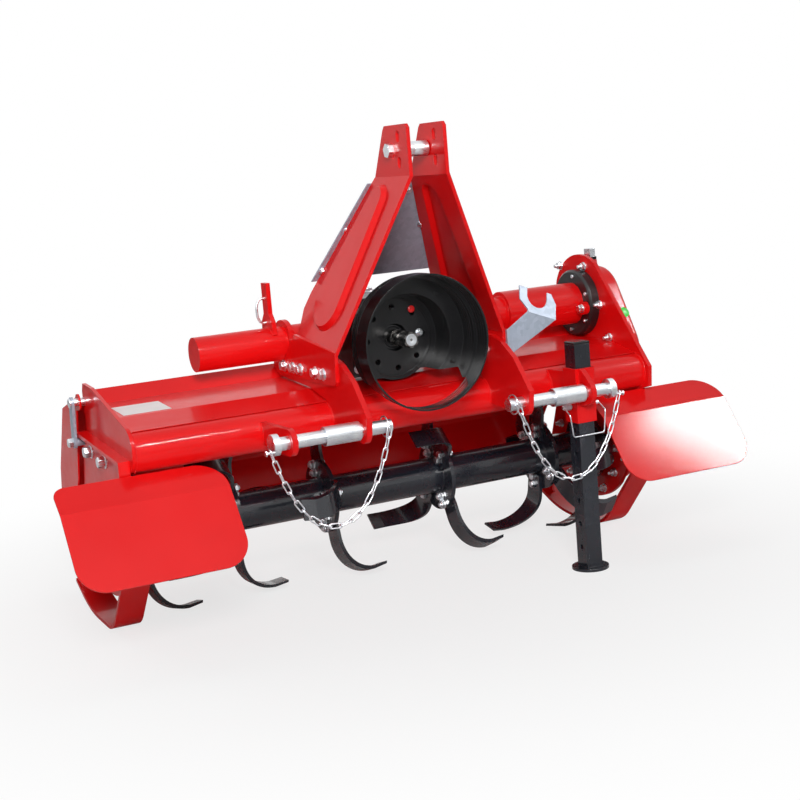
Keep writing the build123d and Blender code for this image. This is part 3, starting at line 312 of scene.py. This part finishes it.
def hex_bolt(bm, at, axis, flats, head, disc, turn):
    """Hex head with chamfered corners and a low boss on top, on a washer of radius disc, if any."""
    along = Vector(axis).normalized()
    if disc:
        washer(bm, at, axis, disc)
        at = at + along * (WASHER_T / 1000)
    r = flats / math.sqrt(3)
    rings(bm, at, axis, [(-0.2, r), (head * 0.82, r), (head, r * 0.86)], 6, turn)
    rings(bm, at + along * (head / 1000), axis, [(-0.3, r * 0.80), (0.4, r * 0.74)], 18)


def nut_stud(bm, at, axis, flats, height, stud, out, disc, turn):
    """Nut on a washer, with the threaded end of its stud standing out of it."""
    along = Vector(axis).normalized()
    washer(bm, at, axis, disc)
    at = at + along * (WASHER_T / 1000)
    r = flats / math.sqrt(3)
    nut = [(-0.2, r * 0.94), (height * 0.12, r), (height * 0.86, r), (height, r * 0.88)]
    rings(bm, at, axis, nut, 6, turn)
    turns = max(2, round(out / RIPPLE))
    thread = [(-1.0, stud)]
    for k in range(turns):
        thread += [(out * (k + 0.35) / turns, stud), (out * (k + 0.7) / turns, stud * 0.88)]
    rings(bm, at + along * (height / 1000), axis, thread + [(out, stud * 0.78)], 14)


def wire(bm, points, radius, sides=10, closed=False, swell=None):
    """Round wire through points in metres; swell scales the radius at each point."""
    count = len(points)
    loops = []
    up = None
    for k in range(count):
        if closed:
            ahead = points[(k + 1) % count] - points[k - 1]
        else:
            ahead = points[min(k + 1, count - 1)] - points[max(k - 1, 0)]
        ahead.normalize()
        if up is None:
            up = ahead.orthogonal().normalized()
        up = (up - ahead * up.dot(ahead)).normalized()
        side = ahead.cross(up)
        r = radius / 1000 * (swell[k] if swell else 1.0)
        loops.append([bm.verts.new(points[k] + r * (up * math.cos(a) + side * math.sin(a)))
                      for a in angles(sides)])
    last = count if closed else count - 1
    for k in range(last):
        a, b = loops[k], loops[(k + 1) % count]
        for i in range(sides):
            j = (i + 1) % sides
            bm.faces.new((a[i], a[j], b[j], b[i]))
    if not closed:
        bm.faces.new(loops[0][::-1])
        bm.faces.new(loops[-1])


BEND_STEPS = 5


def bent(corners, radius):
    """Points of a wire bent round its corners, in curves of about that radius in millimetres."""
    r = radius / 1000
    points = [corners[0]]
    for a, b, c in zip(corners, corners[1:], corners[2:]):
        before = b + (a - b).normalized() * min(r, (a - b).length / 2)
        after = b + (c - b).normalized() * min(r, (c - b).length / 2)
        for k in range(BEND_STEPS + 1):
            t = k / BEND_STEPS
            points.append(before * (1 - t) ** 2 + b * 2 * t * (1 - t) + after * t ** 2)
    points.append(corners[-1])
    return points


def weld(bm, points, radius):
    """Bead of weld metal laid in ripples along points."""
    fine = []
    for a, b in zip(points, points[1:]):
        steps = max(2, round((b - a).length * 1000 / RIPPLE))
        fine += [a.lerp(b, k / steps) for k in range(steps)]
    fine.append(points[-1])
    swell = [0.55 if k in (0, len(fine) - 1) else (1.0 if k % 3 else 0.86) for k in range(len(fine))]
    wire(bm, fine, radius, 8, swell=swell)


def arc_yz(x, y, z, radius, start, end, steps):
    """Points of an arc in a plane of constant X; angles in degrees from the rear towards the top."""
    return [P(x, y + radius * math.cos(a), z + radius * math.sin(a))
            for a in [math.radians(start + (end - start) * k / steps) for k in range(steps + 1)]]


# ---------------------------------------------------------------- chains
LINK_IN = 25.0
LINK_WIRE = 3.2
LINK_R = 4.9             # bend of a link's round ends, to the middle of the wire
PITCH = 23.7
LINKS = 20
LINK_STEPS = 8           # steps in each half circle of a link
HALVINGS = 60            # of the range that the shape of the hanging chain is searched in
HOOK = 4.2               # from a stud or linch pin up to the joint of the link that hangs on it
STEEP = math.radians(68)
PIN_Y, PIN_Z = -367.0, 412.0
LINCH_X = {-1: 145.0, 1: 163.0}
STUD_X = {-1: 403.0, 1: 425.0}
HOOK_Y, STUD_Y, STUD_Z = PIN_Y - 24.5, PIN_Y - 15.0, PIN_Z - 12.0


def hanging(x0, z0, x1, z1, length, count):
    """Points at equal distances along a chain of that length hung from two points."""
    span = x1 - x0
    rise = z1 - z0
    want = math.sqrt(length ** 2 - rise ** 2)
    small, large = span / 60, span * 20
    for _ in range(HALVINGS):
        a = (small + large) / 2
        if 2 * a * math.sinh(span / (2 * a)) > want:
            small = a
        else:
            large = a
    left = math.asinh(rise / (2 * a * math.sinh(span / (2 * a)))) - span / (2 * a)
    points = []
    for k in range(count + 1):
        along = math.sinh(left) + k * length / count / a
        u = math.asinh(along)
        points.append((x0 + a * (u - left),
                       z0 + a * (math.sqrt(1 + along ** 2) - math.sqrt(1 + math.sinh(left) ** 2))))
    return points


def link_points(centre, ahead, across):
    """Centre line of one welded link: two straight sides and two half circles."""
    half = ((LINK_IN + LINK_WIRE) / 2 - LINK_R) / 1000
    r = LINK_R / 1000
    points = []
    for end, start in ((1, -math.pi / 2), (-1, math.pi / 2)):
        for k in range(LINK_STEPS + 1):
            a = start + math.pi * k / LINK_STEPS
            points.append(centre + ahead * (end * half + r * math.cos(a)) + across * (r * math.sin(a)))
    return points


def chain(label, side):
    """One chain, from its linch pin to the stud at the end of the hitch pin."""
    hook_x = HOOK * math.cos(STEEP)
    hook_z = HOOK * math.sin(STEEP)
    spots = hanging(LINCH_X[side] - hook_x, PIN_Z + hook_z,
                    STUD_X[side] + hook_x, STUD_Z + hook_z, LINKS * PITCH, LINKS)
    bm = bmesh.new()
    for k in range(LINKS):
        (xa, za), (xb, zb) = spots[k], spots[k + 1]
        y = HOOK_Y + (STUD_Y - HOOK_Y) * (k + 0.5) / LINKS
        ahead = Vector((side * (xb - xa), 0, zb - za)).normalized()
        across = Vector((0, 1, 0))
        if k % 2 == 0:
            across = ahead.cross(across).normalized()
        middle = P(side * (xa + xb) / 2, y, (za + zb) / 2)
        wire(bm, link_points(middle, ahead, across), LINK_WIRE / 2, 8, closed=True)
    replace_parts(finish_piece("chain_links_" + label, bm, "zinc", "frame", smooth=80),
                "chain_" + label)


chain("left", -1)
chain("right", 1)

# ---------------------------------------------------------------- pins and bent wire
# linch pins: a turned shank with a round head, and a wire loop snapped round the hitch pin
LINCH_TIP = 25.0         # from the middle of the hitch pin to the tip of the shank
LINCH_SHAPE = [(0, 1.4), (5, 3), (44, 3), (44.5, 5), (51, 5.4), (55, 4.4), (57.5, 2)]
LOOP_R = 21.0
LOOP_WIRE = 1.5          # radius of the thin wires
bm = bmesh.new()
for side in (-1, 1):
    x = side * LINCH_X[side]
    rings(bm, P(x, PIN_Y - LINCH_TIP, PIN_Z), (0, 1, 0), LINCH_SHAPE, 16)
    loop = [P(x, PIN_Y + LOOP_R * math.cos(a), PIN_Z + LOOP_R * math.sin(a)) for a in angles(48)]
    wire(bm, loop, LOOP_WIRE, 8, closed=True)
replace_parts(finish_piece("linch_pins_turned", bm, "zinc", "frame"), "linch_pins")

# the stand's lock pin with its bail and spring
LOCK_Z = 376.0
LEG_X, LEG_Y = 364.0, -320.0
LOCK_LENGTH = 96.0
LOCK_END = 3.6           # radius of the pin's ends
LOCK_R = 5.0
# one half of the bail: distance from the leg's middle, Y from the leg's middle, Z
BAIL = [(46.5, -4, LOCK_Z), (46.5, -28, LOCK_Z - 14), (40.5, -28, 312)]
COIL_X = -43.0           # start of the spring, from the leg's middle
COIL_LENGTH = 16.0
COIL_R = 7.0
COIL_WIRE = 0.9
COIL_TURN = 0.42         # angle between two points of the spring
COIL_POINTS = 91
bm = bmesh.new()
lock_shape = [(0, LOCK_END), (1.6, LOCK_R), (LOCK_LENGTH - 1.6, LOCK_R), (LOCK_LENGTH, LOCK_END)]
rings(bm, P(LEG_X - LOCK_LENGTH / 2, LEG_Y, LOCK_Z), (1, 0, 0), lock_shape, 18)
corners = [P(LEG_X - x, LEG_Y + y, z) for x, y, z in BAIL]
corners += [P(LEG_X + x, LEG_Y + y, z) for x, y, z in BAIL[::-1]]
wire(bm, bent(corners, 6), LOOP_WIRE, 10)
coil = []
for k in range(COIL_POINTS):
    x = LEG_X + COIL_X + COIL_LENGTH * k / (COIL_POINTS - 1)
    a = k * COIL_TURN
    coil.append(P(x, LEG_Y + COIL_R * math.cos(a), LOCK_Z + COIL_R * math.sin(a)))
wire(bm, coil, COIL_WIRE, 6)
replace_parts(finish_piece("stand_lock_sprung", bm, "zinc", "frame"), "stand_lock")

# ring on the rod clevis
CLEVIS_X, RING_Z = -231.0, 668.0
# corners of the ring: distance from the clevis, height above its eye
RING = ((0, 0), (14, 0), (21, -14), (21, -42), (12, -56), (0, -54))
RING_WIRE = 2.8
bm = bmesh.new()
corners = [P(CLEVIS_X - x, DRIVE_Y, RING_Z + z) for x, z in RING]
wire(bm, bent(corners, 9), RING_WIRE, 10)
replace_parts(finish_piece("clevis_ring_bent", bm, "zinc", "frame"), "clevis_ring")

# ---------------------------------------------------------------- bolts of the hitch and the housing
BRACKET_X = 186.0        # inner faces of the brackets
FOOT_X = 206.0           # outer faces of the tower's feet
FOOT_BOLTS_Y = (2, -49, -92, -174, -216)
FOOT_BOLTS_Z = 514
bm = bmesh.new()
for side in (-1, 1):
    for k, y in enumerate(FOOT_BOLTS_Y):
        hex_bolt(bm, P(side * FOOT_X, y, FOOT_BOLTS_Z), (side, 0, 0), flats=19, head=9, disc=14, turn=0.3 * k)
        nut_stud(bm, P(side * BRACKET_X, y, FOOT_BOLTS_Z), (-side, 0, 0),
                 flats=19, height=9, stud=6, out=6, disc=14, turn=0.5 * k)
finish_piece("hitch_bolts", bm, "zinc", "frame", smooth=30)

# studs of the gearcase, seen inside the plate: Y, Z
CASE_STUDS = [(104, 651), (-1, 652), (-62, 560), (-96, 482), (-130, 440), (-99, 208), (-142, 188), (-84, 144),
              (-34, 96), (104, 120), (146, 240), (136, 380)]
CASE_IN = node_box("gearcase_plate")[0].x
bm = bmesh.new()
for k, (y, z) in enumerate(CASE_STUDS):
    nut_stud(bm, P(CASE_IN, y, z), (-1, 0, 0), flats=16, height=8, stud=4.5, out=9, disc=11, turn=0.4 * k)
finish_piece("case_studs", bm, "zinc", "frame", smooth=30)

# bolts round the gearcase cover: Y, Z
COVER_BOLTS = [(-142, 188), (-134, 250), (-128, 330), (-168, 420),
               (112, 130), (134, 240), (124, 340), (120, 440)]
CASE_OUT = node_box("gearcase_plate")[1].x
bm = bmesh.new()
for k, (y, z) in enumerate(COVER_BOLTS):
    hex_bolt(bm, P(CASE_OUT, y, z), (1, 0, 0), flats=16, head=7, disc=12, turn=0.7 * k)
finish_piece("cover_bolts", bm, "zinc", "frame", smooth=30)

# left side: two bolts through side plate and end plate, the retaining bar's bolt and the head
# of the hinge pin, and on both sides the bolts of the skids
SIDE_OUT = -648.0        # outer face of the side plate
END_IN = -632.0          # inner face of the end plate behind it
SIDE_BOLTS = ((62, 380), (-48, 374))     # Y, Z
THICK_WASHER = [(-0.4, 15), (2.4, 15), (3, 14)]
BAR_OUT = node_box("retaining_bar")[0].x
BAR_BOLT = (118, 396)
BAR_HEAD = (104, 485)
SKID_BOLTS = ((250, 84), (-163, 184))
SKID_LEFT, SKID_RIGHT = -654.0, 622.0    # outer faces of the skids' tabs
SKID_NUT = -640.0        # inner face of the side plate
bm = bmesh.new()
for k, (y, z) in enumerate(SIDE_BOLTS):
    rings(bm, P(SIDE_OUT, y, z), (-1, 0, 0), THICK_WASHER, 24)
    hex_bolt(bm, P(SIDE_OUT - 3, y, z), (-1, 0, 0), flats=22, head=15, disc=0, turn=0.5 * k)
    nut_stud(bm, P(END_IN, y, z), (1, 0, 0), flats=19, height=9, stud=6, out=6, disc=14, turn=0.2 * k)
hex_bolt(bm, P(BAR_OUT, *BAR_BOLT), (-1, 0, 0), flats=19, head=12, disc=0, turn=0.2)
rings(bm, P(BAR_OUT, *BAR_HEAD), (-1, 0, 0), [(-0.4, 11), (3, 11), (4.5, 8)], 20)
for y, z in SKID_BOLTS:
    hex_bolt(bm, P(SKID_LEFT, y, z), (-1, 0, 0), flats=16, head=7, disc=12, turn=0.2)
    nut_stud(bm, P(SKID_NUT, y, z), (1, 0, 0), flats=16, height=7, stud=5, out=5, disc=12, turn=0.2)
    hex_bolt(bm, P(SKID_RIGHT, y, z), (1, 0, 0), flats=16, head=7, disc=12, turn=0.2)
finish_piece("side_bolts", bm, "zinc", "frame", smooth=30)

# left bearing: four bolts and a grease nipple
BEARING_X = node_box("bearing_left")[0].x
BEARING_RING = 42.0      # radius that its bolts lie on
NIPPLE = [(-0.3, 5), (3, 5), (4, 3), (8, 2.6), (9, 3.4), (11, 2)]
bm = bmesh.new()
for k in range(4):
    a = math.radians(45 + 90 * k)
    spot = P(BEARING_X, BEARING_RING * math.cos(a), AXIS_Z + BEARING_RING * math.sin(a))
    hex_bolt(bm, spot, (-1, 0, 0), flats=16, head=7, disc=0, turn=0.4 * k)
rings(bm, P(BEARING_X, 0, AXIS_Z), (-1, 0, 0), NIPPLE, 12)
finish_piece("bearing_bolts", bm, "zinc", "frame", smooth=30)

# hub of the drive tube: screws round the flange, and a bolt through each ear
HUB_X, EAR_X = 580.0, 566.0              # faces of the flange and of the ears
HUB_RING, EAR_RING = 67.0, 64.0          # radii that their bolts lie on
SOCKET_SCREW = [(-0.3, 4.6), (2.6, 4.6), (3.2, 4), (3.2, 2.4), (1.2, 2)]
bm = bmesh.new()
for k in range(6):
    a = math.radians(38 + 60 * k)
    spot = P(HUB_X, DRIVE_Y + HUB_RING * math.cos(a), SHAFT_Z + HUB_RING * math.sin(a))
    rings(bm, spot, (-1, 0, 0), SOCKET_SCREW, 14)
finish_piece("hub_screws", bm, "zinc", "frame", smooth=30)
bm = bmesh.new()
for k in range(2):
    a = math.radians(188 + 180 * k)
    spot = P(EAR_X, DRIVE_Y + EAR_RING * math.cos(a), SHAFT_Z + EAR_RING * math.sin(a))
    hex_bolt(bm, spot, (-1, 0, 0), flats=17, head=9, disc=11, turn=0.3 + k)
finish_piece("ear_bolts", bm, "zinc", "frame", smooth=30)

# gearbox: four bolts in front and four behind, and two plugs on top
BOX_FRONT, BOX_BACK, BOX_TOP = -120.0, 104.0, 652.0
BOX_BOLTS_X = 80.0
FRONT_BOLTS_Z = (500, 632)
BACK_BOLTS_Z = (545, 625)
bm = bmesh.new()
for side in (-1, 1):
    x = side * BOX_BOLTS_X
    for k in range(2):
        hex_bolt(bm, P(x, BOX_FRONT, FRONT_BOLTS_Z[k]), (0, -1, 0), flats=16, head=7, disc=11, turn=0.3 * k)
        hex_bolt(bm, P(x, BOX_BACK, BACK_BOLTS_Z[k]), (0, 1, 0), flats=16, head=7, disc=11, turn=0.3 * k)
hex_bolt(bm, P(30, 40, BOX_TOP), (0, 0, 1), flats=24, head=9, disc=15, turn=0.2)
hex_bolt(bm, P(-40, 0, BOX_TOP), (0, 0, 1), flats=17, head=8, disc=12, turn=0.4)
finish_piece("gearbox_bolts", bm, "zinc", "frame", smooth=30)

# ---------------------------------------------------------------- bolts of the tines
FLANGES = [-590.0, -375.0, -145.0, 155.0, 441.0, 580.0]
FLANGE_HALF = 5.0
TINE_T = 8.0
TINE_BOLTS = (55, 75)    # distances of a tine's two bolts from the rotor axis
# flange number, side, how many, angle of the first
TINE_ROWS = [(0, 1, 4, 77.0), (1, 1, 2, 176.0), (1, -1, 2, 212.0), (2, 1, 2, 162.0), (2, -1, 2, 256.0),
             (3, 1, 2, 153.0), (3, -1, 2, 221.0), (4, 1, 2, 125.0), (4, -1, 2, 191.0), (5, -1, 4, 80.0)]
bm = bmesh.new()
for flange, side, count, first in TINE_ROWS:
    for k in range(count):
        a = math.radians(first + k * 360 / count)
        for reach in TINE_BOLTS:
            y = -reach * math.sin(a)
            z = AXIS_Z + reach * math.cos(a)
            head_at = P(FLANGES[flange] + side * (FLANGE_HALF + TINE_T), y, z)
            nut_at = P(FLANGES[flange] - side * FLANGE_HALF, y, z)
            hex_bolt(bm, head_at, (side, 0, 0), flats=17, head=8, disc=0, turn=0.4 * k)
            nut_stud(bm, nut_at, (-side, 0, 0), flats=17, height=8, stud=5.5, out=4, disc=10.5, turn=0.4 * k)
finish_piece("tine_bolts", bm, "zinc", "rotor", smooth=30)

# ---------------------------------------------------------------- tower sheet and guard
HEAD_X = 46.0            # outer faces of the uprights' heads
BEND_Z, BLADE_LOW_Z = 915.0, 560.0       # where the leaning blades of the uprights start and end
# two points of the blades' rear edge: Y, distance below the bend along the blade
REAR_TOP, REAR_LOW = (-204.0, 14.0), (-64.0, 262.0)
SHEET_BACK = 0.0032      # from that edge to the back of the sheet, in metres
LEAN = math.atan2(FOOT_X - HEAD_X, BEND_Z - BLADE_LOW_Z)
EDGE_TOP = Vector((0, REAR_TOP[0], BEND_Z - REAR_TOP[1] * math.cos(LEAN)))
EDGE_LOW = Vector((0, REAR_LOW[0], BEND_Z - REAR_LOW[1] * math.cos(LEAN)))
DOWN = (EDGE_LOW - EDGE_TOP).normalized()
OUT = Vector((0, -DOWN.z, DOWN.y))
# screws of the sheet, in rows: X, distance down the sheet
SHEET_ROWS = ((42, 22), (90, 114), (134, 212))
bm = bmesh.new()
for reach, along in SHEET_ROWS:
    spot = EDGE_TOP + DOWN * along
    for x in (-reach, reach):
        at = P(x, spot.y, spot.z)
        hex_bolt(bm, at, tuple(-OUT), flats=11, head=5, disc=9, turn=0.3)
        hex_bolt(bm, at + OUT * SHEET_BACK, tuple(OUT), flats=11, head=5, disc=9, turn=0.3)
finish_piece("sheet_screws", bm, "zinc", "frame", smooth=30)

# second half of the sleeve on the bolt through the heads
TOP_PIN_Y, TOP_PIN_Z = -300.0, 968.0
SLEEVE_SHAPE = [(-1, 15.4), (0, 15.9), (33.4, 15.9), (34, 15.2), (34, 7.2)]
bm = bmesh.new()
rings(bm, P(2, TOP_PIN_Y, TOP_PIN_Z), (1, 0, 0), SLEEVE_SHAPE, 32)
finish_piece("sleeve_end", bm, "zinc", "frame", smooth=30)

# screws on the step inside the guard, and a screw and a plug on the plate at its bottom
LEDGE_Y, PLATE_Y = -222.0, -152.0
LEDGE_RING = 118.0
bm = bmesh.new()
for degrees in (51, -30, 129, 210):
    a = math.radians(degrees)
    spot = P(LEDGE_RING * math.cos(a), LEDGE_Y, SHAFT_Z + LEDGE_RING * math.sin(a))
    hex_bolt(bm, spot, (0, -1, 0), flats=8, head=4, disc=7, turn=0.3)
finish_piece("ledge_screws", bm, "black_plastic", "frame", smooth=30)
bm = bmesh.new()
hex_bolt(bm, P(60, PLATE_Y, SHAFT_Z + 4), (0, -1, 0), flats=13, head=6, disc=9, turn=0.2)
finish_piece("guard_screws", bm, "zinc", "frame", smooth=30)

PLUG_SHAPE = [(-0.5, 8), (3.5, 8), (4.5, 6.6), (4.5, 3), (3, 2.4)]
bm = bmesh.new()
rings(bm, P(44, PLATE_Y, SHAFT_Z + 58), (0, -1, 0), PLUG_SHAPE, 20)
finish_piece("guard_plug", bm, "red_plug", "frame")

# fine rings moulded inside the mouth of the guard
MOUTH_R = 142.6
bm = bmesh.new()
for y in (-300, -290, -280, -270):
    circle = [P(MOUTH_R * math.cos(a), y, SHAFT_Z + MOUTH_R * math.sin(a)) for a in angles(120)]
    wire(bm, circle, 1.1, 6, closed=True)
finish_piece("guard_rings", bm, "black_plastic", "frame", smooth=80)

# seal round the shaft, and the turned end of the shaft with its centre
BOSS_FRONT = -138.0      # front of the gearbox's boss
SHAFT_END = node_box("pto_shaft")[0].y
SEAL_SHAPE = [(-0.4, 29.5), (3, 29.5), (4, 28), (4, 24), (2, 22), (2, 18.6)]
CENTRE_SHAPE = [(-0.3, 13.2), (0.5, 12.8), (0.5, 4.6), (-0.2, 2.2)]
bm = bmesh.new()
rings(bm, P(0, BOSS_FRONT, SHAFT_Z), (0, -1, 0), SEAL_SHAPE, 40)
finish_piece("shaft_seal", bm, "black_plastic", "frame")
bm = bmesh.new()
rings(bm, P(0, SHAFT_END, SHAFT_Z), (0, -1, 0), CENTRE_SHAPE, 36)
finish_piece("shaft_centre", bm, "zinc", "pto")

# round green mark on the front flank of the gearcase cover
FLANK = (0, -0.863, 0.505)               # outward direction of that flank
DOT_AT = P(656, -90.3, 537.3)
bm = bmesh.new()
rings(bm, DOT_AT, FLANK, [(-1.2, 13.5), (0.4, 13.5), (0.8, 13)], 36)
finish_piece("level_dot", bm, "green_dot", "frame")

# boss and gasket round the foot of the breather
BREATHER = node_box("breather")
BOSS_SHAPE = [(-1, 23), (3, 19.5), (9, 17.6), (17, 17.2), (18.5, 16)]
GASKET_Z = 18.4          # above the foot
GASKET_SHAPE = [(0, 15.6), (0.4, 16.6), (7, 16.6), (7.4, 15.6)]
centre = (BREATHER[0] + BREATHER[1]) / 2
foot_z = BREATHER[0].z
bm = bmesh.new()
rings(bm, P(centre.x, centre.y, foot_z), (0, 0, 1), BOSS_SHAPE, 28)
finish_piece("breather_boss", bm, "red_paint", "frame")
bm = bmesh.new()
rings(bm, P(centre.x, centre.y, foot_z + GASKET_Z), (0, 0, 1), GASKET_SHAPE, 28)
finish_piece("breather_gasket", bm, "black_plastic", "frame")

# ---------------------------------------------------------------- welds
BEAM_Y, BEAM_Z, BEAM_R = -190.0, 410.0, 42.0
TUBE_R = 38.5
# beads round the front tube, at brackets, lugs and end plates: X, gap, first and last angle, steps, radius
BEAM_WELDS = [(-186, 0.8, 105, 196, 30, 2.2), (-198, 0.8, 105, 196, 30, 2.2),
              (186, 0.8, 105, 196, 30, 2.2), (198, 0.8, 105, 196, 30, 2.2),
              (-360, 0.8, 142, 205, 30, 2.2), (-348, 0.8, 142, 205, 30, 2.2),
              (348, 0.8, 122, 226, 30, 2.2), (360, 0.8, 122, 226, 30, 2.2),
              (-632, 0.6, 75, 300, 60, 2.0), (606, 0.6, 75, 300, 60, 2.0)]
# the same round the drive tube and the cross tube: rod clevis, sleeve of the drive tube, gearbox
TUBE_WELDS = [(-231, 0.8, 36, 144, 30, 2.0), (-221, 0.8, 36, 144, 30, 2.0), (372, 1.0, 0, 360, 90, 2.4),
              (-92, 0.8, 0, 360, 90, 2.0), (92, 0.8, 0, 360, 90, 2.0)]
bm = bmesh.new()
for x, gap, start, end, steps, radius in BEAM_WELDS:
    weld(bm, arc_yz(x, BEAM_Y, BEAM_Z, BEAM_R + gap, start, end, steps), radius)
for x, gap, start, end, steps, radius in TUBE_WELDS:
    weld(bm, arc_yz(x, DRIVE_Y, SHAFT_Z, TUBE_R + gap, start, end, steps), radius)
finish_piece("welds", bm, "red_paint", "frame", smooth=80)

ROTOR_WELD_R = 43.8
bm = bmesh.new()
for x in FLANGES:
    for side in (-1, 1):
        weld(bm, arc_yz(x + side * FLANGE_HALF, 0, AXIS_Z, ROTOR_WELD_R, 0, 360, 90), 2.2)
finish_piece("rotor_welds", bm, "black_paint", "rotor", smooth=80)

# ---------------------------------------------------------------- blank plate on the deck
DECK_Y, DECK_Z = -110.0, 472.0           # front of the deck's flattest stretch
DECK_RISE, DECK_RUN = 9.0, 168.0         # its slope towards the rear
bm = bmesh.new()
outline = []
for x, y in ((-612, -98), (-508, -98), (-508, -4), (-612, -4)):
    outline.append((x, y, DECK_Z + (y - DECK_Y) * DECK_RISE / DECK_RUN))
low = [bm.verts.new(P(x, y, z + 0.1)) for x, y, z in outline]
top = [bm.verts.new(P(x, y, z + 0.7)) for x, y, z in outline]
bm.faces.new(low[::-1])
bm.faces.new(top)
for k in range(4):
    j = (k + 1) % 4
    bm.faces.new((low[k], low[j], top[j], top[k]))
finish_piece("deck_plate", bm, "white_plate", "frame")


# ---------------------------------------------------------------- stage, light and camera
WHITE = (1, 1, 1, 1)
FLOOR_TONE = (0.8, 0.8, 0.8, 1)
SHADOW_END = (0.5, 1.6)  # between these distances the floor's shadows fade out
SHADOW_MIX = 0.74        # share of plain white at the machine itself
FLOOR_REACH = 40         # half the floor's length, in metres
FILL = 0.14              # strength of the light from all around

# floor: takes shadows near the machine and, to the camera alone, turns white further out
floor_mat = bpy.data.materials.new("floor")
tree = tree_of(floor_mat)
out = node_in(tree, "ShaderNodeOutputMaterial")
card = node_in(tree, "ShaderNodeBsdfDiffuse", Color=FLOOR_TONE)
glow = node_in(tree, "ShaderNodeEmission", Color=WHITE, Strength=1.0)
mix = node_in(tree, "ShaderNodeMixShader")
where = node_in(tree, "ShaderNodeNewGeometry")
away = node_in(tree, "ShaderNodeVectorMath", operation="LENGTH")
span = node_in(tree, "ShaderNodeMapRange", interpolation_type="SMOOTHSTEP")
span.inputs["From Min"].default_value = SHADOW_END[0]
span.inputs["From Max"].default_value = SHADOW_END[1]
span.inputs["To Min"].default_value = SHADOW_MIX
path = node_in(tree, "ShaderNodeLightPath")
seen = node_in(tree, "ShaderNodeMath", operation="MULTIPLY")
tree.links.new(where.outputs["Position"], away.inputs[0])
tree.links.new(away.outputs["Value"], span.inputs["Value"])
tree.links.new(path.outputs["Is Camera Ray"], seen.inputs[0])
tree.links.new(span.outputs["Result"], seen.inputs[1])
tree.links.new(seen.outputs[0], mix.inputs[0])
tree.links.new(card.outputs[0], mix.inputs[1])
tree.links.new(glow.outputs[0], mix.inputs[2])
tree.links.new(mix.outputs[0], out.inputs[0])
bm = bmesh.new()
bmesh.ops.create_grid(bm, x_segments=4, y_segments=4, size=FLOOR_REACH)
mesh = bpy.data.meshes.new("floor")
bm.to_mesh(mesh)
bm.free()
floor = bpy.data.objects.new("floor", mesh)
bpy.context.scene.collection.objects.link(floor)
mesh.materials.append(floor_mat)

# world: white where it is seen straight, in a mirror or through something, and a weak fill otherwise
world = bpy.data.worlds.new("studio")
bpy.context.scene.world = world
tree = tree_of(world)
out = node_in(tree, "ShaderNodeOutputWorld")
fill = node_in(tree, "ShaderNodeBackground", Color=WHITE, Strength=FILL)
white = node_in(tree, "ShaderNodeBackground", Color=WHITE, Strength=1.0)
path = node_in(tree, "ShaderNodeLightPath")
first = node_in(tree, "ShaderNodeMath", operation="MAXIMUM")
either = node_in(tree, "ShaderNodeMath", operation="MAXIMUM")
mix = node_in(tree, "ShaderNodeMixShader")
tree.links.new(path.outputs["Is Camera Ray"], first.inputs[0])
tree.links.new(path.outputs["Is Glossy Ray"], first.inputs[1])
tree.links.new(first.outputs[0], either.inputs[0])
tree.links.new(path.outputs["Is Transmission Ray"], either.inputs[1])
tree.links.new(either.outputs[0], mix.inputs[0])
tree.links.new(fill.outputs[0], mix.inputs[1])
tree.links.new(white.outputs[0], mix.inputs[2])
tree.links.new(mix.outputs[0], out.inputs[0])


def lamp(name, at, aim, size, power, diffuse=True, gloss=True, spin=0.0):
    """Area lamp. Without diffuse it gives highlights alone, without gloss it isn't mirrored; spin, in
    degrees, is for a lamp that looks straight down."""
    data = bpy.data.lights.new(name, "AREA")
    data.shape = "RECTANGLE"
    data.size, data.size_y = size
    data.energy = power
    obj = bpy.data.objects.new(name, data)
    obj.location = at
    obj.rotation_mode = "QUATERNION"
    obj.rotation_quaternion = (Vector(aim) - Vector(at)).to_track_quat("-Z", "Y")
    if spin:
        obj.rotation_quaternion = Quaternion((0, 0, 1), math.radians(spin))
    obj.visible_diffuse = diffuse
    obj.visible_glossy = gloss
    bpy.context.scene.collection.objects.link(obj)


lamp("key", (-1.7, -4.2, 2.5), (0, 0, 0.4), (1.4, 1.2), 168)
lamp("top", (0.4, 0.6, 3.2), (0, 0, 0.3), (2.4, 1.2), 14, gloss=False)
lamp("back", (-0.8, 3.2, 2.0), (0, 0, 0.5), (2.4, 1.6), 40, gloss=False)
lamp("strip", (-0.5, -2.9, 2.9), (-0.2, 0, 0.5), (2.6, 0.16), 150, diffuse=False)
lamp("card", (2.631, -1.443, 2.35), (2.631, -1.443, 0), (0.85, 0.45), 76, diffuse=False, spin=-29.2)

# camera: its place and turn are fitted to the photo
CAMERA_AT = P(-1397.2, -3029.6, 946.0)
YAW, PITCH_DOWN, ROLL = math.radians(25.89), math.radians(9.3), math.radians(-4.73)
LENS, SENSOR = 65.54, 36.0
level = math.cos(PITCH_DOWN)
forward = Vector((math.sin(YAW) * level, math.cos(YAW) * level, -math.sin(PITCH_DOWN)))
right = Vector((math.cos(YAW), -math.sin(YAW), 0))
above = right.cross(forward)
right_rolled = right * math.cos(ROLL) + above * math.sin(ROLL)
above_rolled = -right * math.sin(ROLL) + above * math.cos(ROLL)
turn = Matrix((right_rolled, above_rolled, -forward)).transposed()
data = bpy.data.cameras.new("camera")
data.sensor_width = SENSOR
data.lens = LENS
data.clip_end = 200
camera = bpy.data.objects.new("camera", data)
camera.matrix_world = Matrix.Translation(CAMERA_AT) @ turn.to_4x4()
bpy.context.scene.collection.objects.link(camera)
bpy.context.scene.camera = camera
bpy.context.scene.view_settings.view_transform = "Standard"
